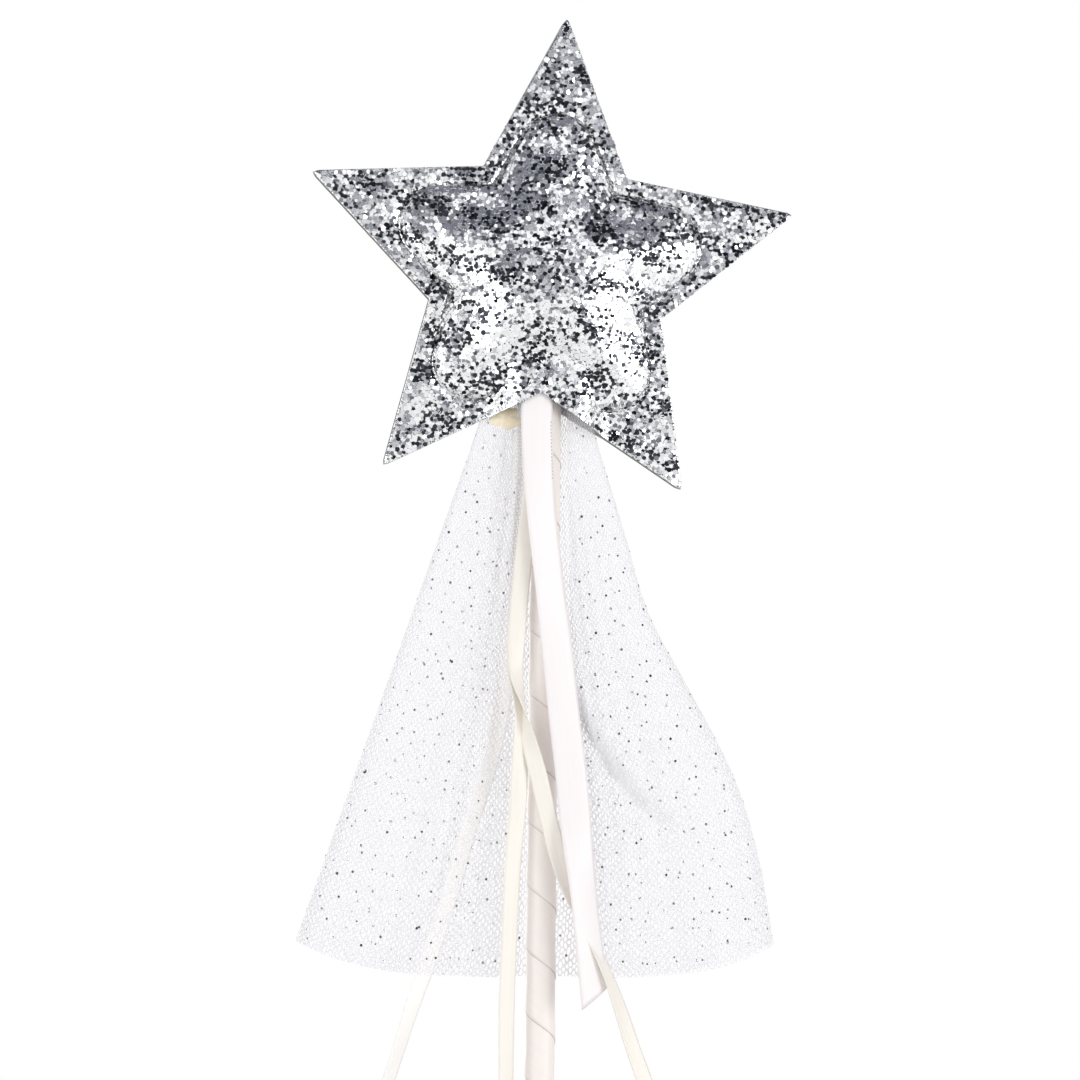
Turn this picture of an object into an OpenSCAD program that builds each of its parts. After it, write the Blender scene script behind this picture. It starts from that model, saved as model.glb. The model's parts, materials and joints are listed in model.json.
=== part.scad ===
// Fairy star wand: a padded glitter star on a satin-wrapped dowel, with a tulle skirt and ribbon tails.
// Z runs up the stick from its grip end, and the front of the star looks along -Y.

/* [Stick] */
// Diameter of the wooden dowel
dowel_d = 8; // [6:0.5:11]
// Length of the dowel, from the grip end to its top inside the star
dowel_length = 372; // [350:1:385]
// Height of the straight turn of ribbon that finishes the grip end
end_band_h = 14; // [8:1:30]

/* [Satin wrap] */
// Thickness of the wound ribbon
wrap_t = 0.55; // [0.3:0.05:0.9]
// Rise of the ribbon in one turn
wrap_pitch = 19.2; // [14:0.1:30]
// Gap between neighbouring turns, along the stick
wrap_gap = 0.7; // [0.6:0.05:1.5]
// Height at which one seam crosses the front of the stick
wrap_seam_z = 137.7; // [130:0.1:150]
// How far the wrap runs up past the star's bottom notch
wrap_tuck = 9; // [4:0.5:11]

/* [Star] */
// Radius to the star's tips
star_tip_r = 77.7; // [68:0.1:90]
// Radius to the star's notches
star_notch_r = 37.2; // [34:0.2:42]
// How far the dowel runs up past the star's centre
dowel_past_center = 26.4; // [16:0.2:32]
// Clockwise lean of the star on the stick, in degrees
star_tilt = 3.7; // [0:0.1:8]
// Width of the flat rim outside the pressed seam
rim_margin = 5.4; // [3:0.2:8]
// Thickness of a cover
cover_t = 1.1; // [0.6:0.1:2]
// Thickness of the core board
core_t = 1.6; // [1:0.1:3]
// Swell of a cover above its rim at the star's centre
crown = 10; // [6:0.5:16]
// Radius of the padded tips, inside the seam
seam_tip_r = 12; // [6:0.5:15]
// Radius of the cut tips
cut_tip_r = 0.8; // [0.3:0.1:3]

/* [Mouth] */
// Half the width of the mouth where stick, tulle and ribbons enter the star
mouth_half_w = 21; // [18:0.5:26]
// Width over which each side of the mouth closes to the rim
mouth_flank = 12.5; // [8:0.5:14]
// Room in front of the wrapped stick for the ribbon heads
mouth_room = 2; // [1.8:0.1:4]

/* [Tulle] */
// Thickness of the net
tulle_t = 0.3; // [0.2:0.05:0.5]
// Drop of the skirt from its hinge line to the middle of the hem
hem_drop = 158.5; // [120:0.5:200]
// Rise of the hem at its outer corners
hem_corner_rise = 10.5; // [0:0.5:20]
// Reach of the skirt to the left at the hem
hem_left = 73.6; // [50:0.2:100]
// Reach of the skirt to the right at the hem
hem_right = 68.6; // [50:0.2:100]
// Reach of the gathered top to the left
top_left = 22.8; // [18:0.2:26]
// Reach of the gathered top to the right
top_right = 16.4; // [13:0.2:22]
// Depth of the skirt in front of the stick's axis at the hem
hem_front = 3.1; // [2:0.1:3.2]
// Depth of the skirt behind the stick's axis at the hem
hem_back = 11; // [8:0.5:30]
// Height of the folds at the hem, on all layers
hem_fold = 1.2; // [0.4:0.1:1.2]
// Further height of the folds on the back layer
back_fold = 2.2; // [0:0.1:3]

/* [Ribbons] */
// Width of the white ribbon
white_w = 9.5; // [6:0.5:12]
// Width of the cream ribbons
cream_w = 5.2; // [3:0.2:5.4]
// Thickness of the hanging ribbons
ribbon_t = 0.3; // [0.15:0.05:0.35]
// Slant of the white ribbon's cut end
white_slant = 5.5; // [0:0.5:9]

/* [Glue] */
// Width of the dab of glue at the mouth
glue_w = 7; // [4:0.5:9]
// Height of the dab above the net
glue_h = 1.2; // [0.6:0.1:1.6]

/* [Hidden] */
$fn = 96;

// Stick and winding
wrap_fit = 0.05;
end_chamfer = 0.5;
dowel_r = dowel_d / 2;
wrap_r = dowel_r + wrap_fit + wrap_t;
wrap_rings = 20;
wrap_in_r = (dowel_r + wrap_fit) / cos(180 / wrap_rings);
wrap_axial_w = wrap_pitch - wrap_gap;
wrap_least_w = 0.6;

// Star
star_center_z = dowel_length - dowel_past_center;
arms = 5;
half_sector = 180 / arms;
star_edge = sqrt(star_tip_r * star_tip_r + star_notch_r * star_notch_r
    - 2 * star_tip_r * star_notch_r * cos(half_sector));
edge_dist = star_tip_r * star_notch_r * sin(half_sector) / star_edge;
edge_lean = acos(edge_dist / star_tip_r);
seam_share = (edge_dist - rim_margin) / edge_dist;
dome_r = (star_notch_r + edge_dist) / 2 + rim_margin;
dome_round_share = 0.9;
wedge_shares = [0, 0.14, 0.28, 0.42, 0.7, 0.87, 1];
wedge_steps = len(wedge_shares) - 1;
star_angles = [for (w = [0:2 * arms - 1], i = [0:wedge_steps - 1]) wedge_angle(w, i)];
crown_shares = [0, 0.05, 0.15, 0.32, 0.58, 0.82];
crown_power = 0.6;
core_fit = 0.1;
core_inset = 0.3;
rim_half = core_t / 2 + core_fit + cover_t;
pad_clear = 0.5;
notch_z = star_center_z - star_notch_r * cos(star_tilt);

// Mouth
mouth_depth = wrap_r + mouth_room;
mouth_top_rise = 22;
mouth_fade = 14;
core_mouth_room = 1.6;
core_mouth_r = mouth_half_w + core_mouth_room;
core_mouth_drop = 10;
slot_fit = 0.15;

// Ribbons: each route point is [across, in front of the wrapped stick, down from the ribbon's hinge line]
hang_below_notch = 8.6;
ribbon_hang_z = notch_z - hang_below_notch;
head_gap = 0.4;
head_rise = 12;
white_route = [
    [-3.7, 1.45, 0.3], [-3.4, 1.5, 9], [-3, 1.65, 18], [-2.3, 1.8, 26], [-1.4, 2, 34], [-0.3, 2.2, 43],
    [1, 2.6, 54], [2.5, 3.1, 66], [3.9, 3.5, 78], [5.4, 3.9, 91], [7.1, 4.4, 104], [8.5, 4.9, 118],
    [9.8, 5.3, 131], [11.3, 5.6, 145], [13, 5.7, 158], [14.8, 5.6, 172.5]];
cream_middle_route = [
    [-4.2, 0.45, 0.3], [-4.3, 0.5, 8], [-4.6, 0.6, 18], [-5.3, 0.7, 26], [-6.4, 0.8, 34], [-7.4, 0.9, 43],
    [-8.2, 1, 52], [-9, 1.1, 61], [-9.6, 1.2, 70], [-9.5, 1.25, 77], [-8.5, 1.3, 83], [-7.9, 1.35, 89],
    [-7.9, 1.4, 97], [-7.9, 1.5, 106], [-8.2, 1.6, 115], [-9.1, 1.7, 125], [-9.9, 1.85, 136],
    [-10.3, 1.95, 147], [-10.7, 2, 159], [-11.1, 2.1, 172], [-11.2, 2.2, 186], [-11.2, 2.3, 200],
    [-11, 2.3, 215], [-10.8, 2.2, 231], [-10.5, 2, 247]];
cream_right_route = [
    [-4.3, 0.95, 0.3], [-4.3, 1, 8], [-4.7, 1.1, 18], [-5.4, 1.2, 26], [-6.4, 1.35, 34], [-7.4, 1.5, 43],
    [-8.2, 1.6, 52], [-8.9, 1.75, 61], [-9.4, 1.85, 70], [-9.2, 2, 77], [-8, 2.1, 83], [-7.2, 2.2, 88],
    [-6.2, 2.4, 93], [-4.5, 2.6, 99], [-2.4, 2.8, 106], [-0.7, 3, 113], [1.1, 3.3, 120], [3.1, 3.55, 128],
    [5.6, 3.8, 136], [8.7, 4.05, 144], [11.9, 4.25, 151], [15.3, 4.45, 158], [18.9, 4.65, 166],
    [22.7, 4.8, 176], [26.5, 4.9, 187], [30.5, 5, 197.5], [34.7, 5, 208], [39.1, 4.9, 219],
    [43.4, 4.8, 230], [47.5, 4.7, 240.5]];
// The left tail hangs inside the skirt: [across, behind the stick's axis, down from the skirt's hinge line]
cream_left_route = [
    [-7.9, 0.6, 0.5], [-7.9, 0.8, 10], [-7.8, 1, 22], [-7.8, 1.3, 34], [-8.1, 1.5, 46], [-8.8, 1.8, 56],
    [-10.1, 2, 65], [-11.8, 2.25, 74], [-13.5, 2.5, 84], [-15.8, 2.8, 95], [-19.1, 3.1, 106],
    [-22.4, 3.35, 117], [-25.4, 3.55, 128], [-29.1, 3.75, 140], [-33.2, 3.9, 153], [-37.6, 4, 166],
    [-41.9, 4, 180], [-47, 4, 196], [-51.9, 4, 213], [-56.4, 3.9, 231]];

// Tulle
skirt_below_notch = 16.6;
skirt_hang_z = notch_z - skirt_below_notch;
skirt_gap = 0.3;
heading_rise = 17.4;
heading_spread = 7;
rim_depth = 0.5;
top_front = 1;
top_back = 2.2;
net_clear = 0.75;
bell_half_w = 10;
flap_top = 6.2;
flap_left_hem = 12.5;
heading_lean_share = 0.3;
right_edge_shares = [[0, 0], [0.17, 0.15], [0.33, 0.27], [0.5, 0.54], [0.67, 0.79], [0.83, 0.92], [1, 1]];
flap_right_shares = [[0, 0], [0.17, 0.02], [0.33, 0.05], [0.5, 0.12], [0.67, 0.4], [0.83, 0.66], [1, 0.76]];
skirt_row_shares = [0, 0.06, 0.14, 0.24, 0.35, 0.46, 0.56, 0.66, 0.76, 0.86, 0.94, 1];
heading_row_shares = [0, 0.35, 0.65, 1];
flap_steps = 5;
fold_steps = 3;
back_steps = 12;
folds_across = 2.5;
back_folds_across = 3;
hem_power = 4;

// Glue
glue_x = -12;
glue_drop = 7.6;
glue_seat = 0.1;
glue_r = (glue_w * glue_w / 4 + glue_h * glue_h) / (2 * glue_h);

// Colours
satin_color = "seashell";
cream_color = "cornsilk";
white_color = "white";
glitter_color = "silver";
net_color = "ghostwhite";

// Smooth step from 0 to 1, for any t
function ease(t) = (1 - cos(180 * max(0, min(1, t)))) / 2;

function unit(v) = v / norm(v);

function mixed(a, b, t) = a + (b - a) * t;

// Angles round the star run from a tip to the next notch and on to the next tip
function wedge_angle(w, i) = half_sector
    * (w + (w % 2 == 0 ? wedge_shares[i] : 1 - wedge_shares[wedge_steps - i]));

function from_tip(a) = abs((a + half_sector) % (2 * half_sector) - half_sector);

// Distance from the centre to the star's outline at an angle, with its tips rounded to a radius
function star_r(a, round_r) =
    let (m = from_tip(a),
        arc_middle = star_tip_r - round_r / cos(edge_lean),
        arc_end = atan2(round_r * sin(edge_lean), arc_middle + round_r * cos(edge_lean)))
    m < arc_end
        ? arc_middle * cos(m) + sqrt(round_r * round_r - pow(arc_middle * sin(m), 2))
        : edge_dist / cos(m - edge_lean);

// Rings of the puffed centre: the seam's star at share 0, which turns round towards the crown
function seam_r(a, share) = (1 - share)
    * mixed(star_r(a, seam_tip_r / seam_share) * seam_share, dome_r, ease(share / dome_round_share));

function crown_at(share) = crown * pow(1 - pow(1 - share, 2), crown_power);

// Half the room inside the mouth at a place across and up the star
function mouth_at(x, z) = mouth_depth * ease((mouth_half_w - abs(x)) / mouth_flank)
    * ease((notch_z + mouth_top_rise - z) / mouth_fade);

// A point of the front: at an angle and radius, its depth the larger of the padding's and the mouth's
function front_point(a, r, padded, mouth_wall) =
    let (x = r * sin(a + star_tilt), z = star_center_z + r * cos(a + star_tilt))
    [x, -max(padded, mouth_at(x, z) + mouth_wall), z];

function rim_ring(wall) = [for (a = star_angles)
    front_point(a, star_r(a, cut_tip_r), rim_half - cover_t + wall, wall)];

function crown_ring(share, wall) = [for (a = star_angles)
    front_point(a, seam_r(a, share), rim_half - cover_t + crown_at(share) + wall, wall)];

function crown_top(wall) = [0, -(rim_half - cover_t + crown + wall), star_center_z];

function reversed(v) = [for (i = [len(v) - 1:-1:0]) v[i]];

// Faces of a loft through rings of n points; its two ends close on an apex or as a thin strip
function loft_sides(rows, n) = [for (i = [0:rows - 2], j = [0:n - 1])
    let (a = i * n + j, b = i * n + (j + 1) % n)
    each [[a, a + n, b], [b, a + n, b + n]]];

function apex_ends(rows, n) = [for (j = [0:n - 1])
    let (last = (rows - 1) * n)
    each [[rows * n, j, (j + 1) % n], [rows * n + 1, last + (j + 1) % n, last + j]]];

function strip_ends(rows, n) = [for (j = [0:n / 2 - 2])
    let (last = (rows - 1) * n, k = n - 1 - j)
    each [[j, j + 1, k], [j + 1, k - 1, k], [last + j, last + k, last + j + 1],
        [last + j + 1, last + k, last + k - 1]]];

module apex_loft(rings, first, last) {
    n = len(rings[0]);
    polyhedron([for (r = rings) each r, first, last],
        concat(loft_sides(len(rings), n), apex_ends(len(rings), n)), convexity = 8);
}

module strip_loft(rings) {
    n = len(rings[0]);
    polyhedron([for (r = rings) each r],
        concat(loft_sides(len(rings), n), strip_ends(len(rings), n)), convexity = 8);
}

// Wooden dowel with its grip end eased
module dowel_core() {
    color("burlywood") rotate_extrude() polygon([
        [0, 0], [dowel_r - end_chamfer, 0], [dowel_r, end_chamfer], [dowel_r, dowel_length - end_chamfer],
        [dowel_r - end_chamfer, dowel_length], [0, dowel_length]]);
}

// Satin ribbon wound up the stick, cut level at both ends
wrap_start_z = end_band_h + wrap_gap;
wrap_end_z = notch_z + wrap_tuck;
wrap_first = (wrap_start_z + wrap_least_w - wrap_axial_w - wrap_seam_z) / wrap_pitch;
wrap_last = (wrap_end_z - wrap_least_w - wrap_seam_z) / wrap_pitch;
wrap_steps = ceil((wrap_last - wrap_first) * wrap_rings);

function wrap_turn(i) = min(wrap_first + i / wrap_rings, wrap_last);

function wrap_low(t) = max(wrap_start_z, wrap_seam_z + wrap_gap / 2 + wrap_pitch * t);

function wrap_high(t) = min(wrap_end_z, wrap_seam_z + wrap_gap / 2 + wrap_pitch * t + wrap_axial_w);

function wrap_point(r, t, z) = [-r * sin(360 * t), -r * cos(360 * t), z];

function wrap_ring(t) = [wrap_point(wrap_in_r, t, wrap_low(t)), wrap_point(wrap_r, t, wrap_low(t)),
    wrap_point(wrap_r, t, wrap_high(t)), wrap_point(wrap_in_r, t, wrap_high(t))];

function ring_middle(r) = [for (k = [0:2]) (r[0][k] + r[1][k] + r[2][k] + r[3][k]) / 4];

wrap_path = [for (i = [0:wrap_steps]) wrap_ring(wrap_turn(i))];
wrap_self_gap = min([for (i = [0:wrap_steps - wrap_rings - 1], j = [-wrap_rings / 4:wrap_rings / 4])
    let (k = min(wrap_steps, i + wrap_rings + j)) norm(wrap_path[k][1] - wrap_path[i][2])]);
echo(str("least gap of the winding to itself, mm: ", wrap_self_gap));

module ribbon_wrap() {
    color(satin_color)
        apex_loft(wrap_path, ring_middle(wrap_path[0]), ring_middle(wrap_path[wrap_steps]));
}

// Straight turn of satin that finishes the grip end
module wrap_end_band() {
    color(satin_color) difference() {
        cylinder(h = end_band_h, r = wrap_r);
        translate([0, 0, -wrap_t]) cylinder(h = end_band_h + 2 * wrap_t, r = dowel_r + wrap_fit);
    }
}

// Cover: a sheet with a flat rim, a pressed seam and a puffed centre, opened round the stick at the mouth
module star_front_cover() {
    outer = [for (s = reversed(crown_shares)) crown_ring(s, cover_t)];
    inner = [for (s = crown_shares) crown_ring(s, 0)];
    color(glitter_color)
        apex_loft(concat(outer, [rim_ring(cover_t), rim_ring(0)], inner), crown_top(cover_t), crown_top(0));
}

module star_back_cover() {
    mirror([0, 1, 0]) star_front_cover();
}

// Padding: fills a cover from the core board to the crown, with a channel for the stick
function padding_ring(share) = [for (p = crown_ring(share, -pad_clear))
    [p[0] * padding_share, p[1], star_center_z + (p[2] - star_center_z) * padding_share]];

padding_share = 1 - pad_clear / edge_dist;
padding_floor = -(rim_half - cover_t + core_fit);

module star_front_padding() {
    swell = [for (i = [len(crown_shares) - 1:-1:1]) padding_ring(crown_shares[i])];
    outer = swell[len(swell) - 1];
    base = [for (p = outer) [p[0], padding_floor, p[2]]];
    color("white") difference() {
        apex_loft(concat(swell, [base]), crown_top(-pad_clear), [0, padding_floor, star_center_z]);
        cylinder(h = dowel_length + pad_clear, r = wrap_r + pad_clear);
    }
}

module star_back_padding() {
    mirror([0, 1, 0]) star_front_padding();
}

// Core board: stiff card cut to the star, slotted for the dowel and cut away at the mouth
module star_core_board() {
    shrink = 1 - core_inset / edge_dist;
    slot_w = dowel_d + 2 * slot_fit;
    outline = [for (i = [0:2 * arms - 1])
        let (r = shrink * (i % 2 == 0 ? star_tip_r : star_notch_r), a = half_sector * i + star_tilt)
        [r * sin(a), star_center_z + r * cos(a)]];
    color("tan") rotate([90, 0, 0]) linear_extrude(core_t, center = true) difference() {
        polygon(outline);
        translate([0, notch_z - core_mouth_drop]) circle(core_mouth_r);
        translate([-slot_w / 2, notch_z]) square([slot_w, dowel_length + slot_fit - notch_z]);
    }
}

// Tulle: one strip round the back of the stick, its two ends brought to the front as flaps.
// A row is given by its share of the drop, negative above the hinge line.
function above(s) = min(1, max(0, -s * hem_drop / heading_spread));

function left_reach(s) = top_left + (hem_left - top_left) * s;

function right_reach(s) = s < 0 ? top_right + heading_lean_share * hem_drop * s
    : top_right + (hem_right - top_right) * lookup(s, right_edge_shares);

function left_flap(s) = flap_top + (flap_left_hem - flap_top) * max(0, s);

function right_flap(s) = flap_top + hem_right * lookup(s, flap_right_shares);

function front_depth(s) = s < 0 ? top_front + (rim_depth - top_front) * above(s)
    : top_front + (hem_front - top_front) * s;

function back_depth(s) = s < 0 ? top_back + (rim_depth - top_back) * above(s)
    : top_back + (hem_back - top_back) * s;

function across_share(x, s) = x < 0 ? x / left_reach(s) : x / right_reach(s);

function fold_wave(x, s) = hem_fold * max(0, s) * sin(360 * folds_across * across_share(x, s));

function back_wave(x, s) = let (u = across_share(x, s))
    back_fold * max(0, s) * (1 - u * u) * cos(360 * back_folds_across * u);

function front_y(x, s) = fold_wave(x, s) - front_depth(s);

function back_y(x, s) = fold_wave(x, s) + max(back_depth(s) + back_wave(x, s),
    (wrap_r + net_clear) * ease((bell_half_w - abs(x)) / bell_half_w));

function row_z(x, s) = skirt_hang_z
    - s * (hem_drop - (s < 0 ? 0 : hem_corner_rise * pow(abs(across_share(x, s)), hem_power)));

function net_place(x, y, s) = [x, y, row_z(x, s)];

// The strip's points in one row, from the left flap's free edge round the back to the right flap's
function net_row(s) =
    let (half = (front_depth(s) + back_depth(s)) / 2,
        left = half - left_reach(s),
        right = right_reach(s) - half)
    concat(
        [for (i = [0:flap_steps - 1]) let (x = mixed(-left_flap(s), left, i / flap_steps))
            net_place(x, front_y(x, s), s)],
        [for (i = [0:fold_steps - 1]) let (a = 180 * i / fold_steps)
            net_place(left - half * sin(a), mixed(front_y(left, s), back_y(left, s), (1 - cos(a)) / 2), s)],
        [for (i = [0:back_steps - 1]) let (x = mixed(left, right, i / back_steps))
            net_place(x, back_y(x, s), s)],
        [for (i = [0:fold_steps - 1]) let (a = 180 * i / fold_steps)
            net_place(right + half * sin(a), mixed(back_y(right, s), front_y(right, s), (1 - cos(a)) / 2), s)],
        [for (i = [0:flap_steps]) let (x = mixed(right, right_flap(s), i / flap_steps))
            net_place(x, front_y(x, s), s)]);

// Thickness added square to the net, half on each side
function net_normal(rows, i, j) =
    let (up = max(0, i - 1), down = min(len(rows) - 1, i + 1),
        before = max(0, j - 1), after = min(len(rows[0]) - 1, j + 1))
    unit(cross(rows[i][after] - rows[i][before], rows[down][j] - rows[up][j]));

function net_ring(rows, i) = concat(
    [for (j = [0:len(rows[i]) - 1]) rows[i][j] + net_normal(rows, i, j) * tulle_t / 2],
    [for (j = [len(rows[i]) - 1:-1:0]) rows[i][j] - net_normal(rows, i, j) * tulle_t / 2]);

module net(shares) {
    rows = [for (s = shares) net_row(s)];
    color(net_color) strip_loft([for (i = [0:len(rows) - 1]) net_ring(rows, i)]);
}

module tulle_skirt() {
    first_share = skirt_gap / hem_drop;
    net([for (s = skirt_row_shares) mixed(first_share, 1, s)]);
}

module tulle_heading() {
    first_share = heading_rise / hem_drop;
    last_share = skirt_gap / hem_drop;
    net([for (s = heading_row_shares) mixed(-first_share, -last_share, s)]);
}

// Ribbons: flat strips swept along their routes, facing the front
function front_route(route) = [for (p = route) [p[0], -wrap_r - p[1], ribbon_hang_z - p[2]]];

function inner_route(route) = [for (p = route) [p[0], p[1], skirt_hang_z - p[2]]];

function along(path, i) = unit(path[min(len(path) - 1, i + 1)] - path[max(0, i - 1)]);

function ribbon_ring(path, i, w, slant) =
    let (t = along(path, i),
        side = unit(cross([0, 1, 0], t)),
        face = unit(cross(t, side)),
        cut = i == len(path) - 1 ? slant / 2 : 0)
    [for (c = [[-1, -1], [1, -1], [1, 1], [-1, 1]])
        path[i] + side * c[0] * w / 2 + face * c[1] * ribbon_t / 2 + t * c[0] * cut];

module ribbon(path, w, slant = 0) {
    rings = [for (i = [0:len(path) - 1]) ribbon_ring(path, i, w, slant)];
    apex_loft(rings, ring_middle(rings[0]), ring_middle(rings[len(rings) - 1]));
}

module head(route, w) {
    top = front_route(route)[0];
    translate([top[0] - w / 2, top[1] - ribbon_t / 2, ribbon_hang_z + head_gap])
        cube([w, ribbon_t, head_rise - head_gap]);
}

module white_ribbon_head() {
    color(white_color) head(white_route, white_w);
}

module white_ribbon_tail() {
    color(white_color) ribbon(front_route(white_route), white_w, white_slant);
}

module cream_ribbon_heads() {
    color(cream_color) {
        head(cream_middle_route, cream_w);
        head(cream_right_route, cream_w);
    }
}

module cream_left_tail() {
    color(cream_color) ribbon(inner_route(cream_left_route), cream_w);
}

module cream_middle_tail() {
    color(cream_color) ribbon(front_route(cream_middle_route), cream_w);
}

module cream_right_tail() {
    color(cream_color) ribbon(front_route(cream_right_route), cream_w);
}

// Dab of glue on the front of the heading, a low round cap
module glue_dab() {
    low_share = (glue_drop + glue_w / 2 - skirt_below_notch) / hem_drop;
    seat_y = front_y(glue_x, low_share) - tulle_t / 2 - glue_seat;
    color("goldenrod") translate([glue_x, seat_y, notch_z - glue_drop]) rotate([90, 0, 0]) difference() {
        translate([0, 0, glue_h - glue_r]) sphere(glue_r);
        translate([0, 0, -2 * glue_r]) cylinder(h = 2 * glue_r, r = 2 * glue_r);
    }
}

dowel_core();
ribbon_wrap();
wrap_end_band();
star_front_cover();
star_back_cover();
star_front_padding();
star_back_padding();
star_core_board();
tulle_heading();
tulle_skirt();
white_ribbon_head();
white_ribbon_tail();
cream_ribbon_heads();
cream_left_tail();
cream_middle_tail();
cream_right_tail();
glue_dab();
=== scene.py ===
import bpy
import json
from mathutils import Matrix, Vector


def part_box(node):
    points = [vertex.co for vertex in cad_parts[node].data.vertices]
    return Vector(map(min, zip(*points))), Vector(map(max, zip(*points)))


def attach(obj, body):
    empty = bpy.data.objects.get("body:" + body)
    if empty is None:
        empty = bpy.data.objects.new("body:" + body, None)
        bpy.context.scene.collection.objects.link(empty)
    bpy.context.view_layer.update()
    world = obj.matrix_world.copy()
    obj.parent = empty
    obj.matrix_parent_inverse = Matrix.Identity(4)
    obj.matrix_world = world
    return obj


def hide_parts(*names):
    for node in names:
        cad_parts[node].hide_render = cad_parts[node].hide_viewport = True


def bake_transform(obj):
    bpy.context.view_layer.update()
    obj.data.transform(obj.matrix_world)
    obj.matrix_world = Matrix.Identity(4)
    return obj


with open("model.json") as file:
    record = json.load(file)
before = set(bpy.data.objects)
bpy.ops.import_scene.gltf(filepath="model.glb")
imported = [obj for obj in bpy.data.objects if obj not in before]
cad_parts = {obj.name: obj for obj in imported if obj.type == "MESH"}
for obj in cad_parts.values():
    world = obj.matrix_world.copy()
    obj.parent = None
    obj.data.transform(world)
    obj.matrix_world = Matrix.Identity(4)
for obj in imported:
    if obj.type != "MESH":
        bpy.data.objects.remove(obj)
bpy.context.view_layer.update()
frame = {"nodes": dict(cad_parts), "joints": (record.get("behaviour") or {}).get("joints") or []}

import json
import math
import bmesh
import bpy
import numpy as np
from mathutils import Quaternion, Vector
from mathutils.bvhtree import BVHTree

mm = 0.001
scene = bpy.context.scene
scene.view_settings.view_transform = "Standard"
joints = {joint["name"]: joint for joint in frame["joints"]}
print("frame: loaded", len(frame["nodes"]), "nodes")

# The long lens stands a little left of the star and below its middle
cameraValues = {
    "target": (-2.2 * mm, -5 * mm, 264.3 * mm),
    "azimuth": -8,
    "elevation": -3,
    "roll": 0.58,
    "distance": 1.6,
    "fieldWidth": 324 * mm,
    "sensor": 36,
}


def addObject(name, data):
    made = bpy.data.objects.new(name, data)
    scene.collection.objects.link(made)
    return made


def makeCamera(v):
    data = bpy.data.cameras.new("photoCamera")
    data.sensor_width = v["sensor"]
    data.lens = v["sensor"] * v["distance"] / v["fieldWidth"]
    azimuth, elevation = math.radians(v["azimuth"]), math.radians(v["elevation"])
    outward = Vector((math.sin(azimuth) * math.cos(elevation), -math.cos(azimuth) * math.cos(elevation),
                      math.sin(elevation)))
    camera = addObject("photoCamera", data)
    camera.location = Vector(v["target"]) + outward * v["distance"]
    camera.rotation_mode = "QUATERNION"
    roll = Quaternion((0, 0, 1), math.radians(v["roll"]))
    camera.rotation_quaternion = (-outward).to_track_quat("-Z", "Y") @ roll
    scene.camera = camera


makeCamera(cameraValues)
print("camera: placed")


# Shapes and meshes that several pieces use

def ease(t):
    return (1 - np.cos(math.pi * np.clip(t, 0, 1))) / 2


def mixed(a, b, t):
    return a + (b - a) * t


def unit(v):
    return v / np.maximum(np.linalg.norm(v, axis=-1, keepdims=True), 1e-12)


def newMesh(name, points, faces):
    mesh = bpy.data.meshes.new(name)
    mesh.from_pydata(np.asarray(points).reshape(-1, 3).tolist(), [], faces)
    return mesh


def addMesh(name, points, faces, uv=None, smooth=True, closed=True):
    mesh = newMesh(name, points, faces)
    if closed:  # every closed mesh gets its faces turned outward
        shell = bmesh.new()
        shell.from_mesh(mesh)
        bmesh.ops.recalc_face_normals(shell, faces=shell.faces)
        shell.to_mesh(mesh)
        shell.free()
    if uv is not None:
        corners = np.empty(len(mesh.loops), np.int32)
        mesh.loops.foreach_get("vertex_index", corners)
        layer = mesh.uv_layers.new(name="fabric")
        layer.data.foreach_set("uv", np.asarray(uv, np.float32).reshape(-1, 2)[corners].ravel())
    mesh.polygons.foreach_set("use_smooth", [smooth] * len(mesh.polygons))
    piece = addObject(name, mesh)
    return piece


def gridFaces(rows, columns, wrapped=False):
    last = columns if wrapped else columns - 1
    return [(i * columns + j, i * columns + (j + 1) % columns, (i + 1) * columns + (j + 1) % columns,
             (i + 1) * columns + j) for i in range(rows - 1) for j in range(last)]


def cappedFaces(rows, count):
    # A wrapped grid, closed by fans to two middle points that follow the grid's own
    total = rows * count
    faces = gridFaces(rows, count, True)
    faces += [(total, (j + 1) % count, j) for j in range(count)]
    return faces + [(total + 1, total - count + j, total - count + (j + 1) % count) for j in range(count)]


chipSides = 6  # of every glitter flake and net dot


def hexRings(middle, across, upward, radius, spin, stretch=1):
    corner = spin[:, None] + np.arange(chipSides)[None] * math.tau / chipSides
    return (middle[:, None] + across[:, None] * (np.cos(corner) * radius[:, None])[..., None]
            + upward[:, None] * (np.sin(corner) * (radius * stretch)[:, None])[..., None])


def meshPoints(piece):
    return np.array([p.co for p in piece.data.vertices])


def movePoints(piece, points):
    piece.data.vertices.foreach_set("co", points.ravel())
    piece.data.update()


def storeValue(piece, name, values):
    layer = piece.data.attributes.new(name, "FLOAT", "POINT")
    layer.data.foreach_set("value", np.asarray(values, np.float32).ravel())


def lineLength(path):
    return np.concatenate([[0], np.cumsum(np.linalg.norm(np.diff(path, axis=0), axis=1))])


def smoothLine(points, step):
    # Points every step along a smooth curve through the given ones
    points = np.asarray(points, float)
    place = lineLength(points)
    slope = np.gradient(points, place, axis=0)
    at = np.linspace(0, place[-1], int(place[-1] / step) + 1)
    k = np.clip(np.searchsorted(place, at, "right") - 1, 0, len(points) - 2)
    span = (place[k + 1] - place[k])[:, None]
    t = ((at - place[k])[:, None]) / span
    return ((2 * t**3 - 3 * t**2 + 1) * points[k] + (t**3 - 2 * t**2 + t) * span * slope[k]
            + (3 * t**2 - 2 * t**3) * points[k + 1] + (t**3 - t**2) * span * slope[k + 1])


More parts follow.
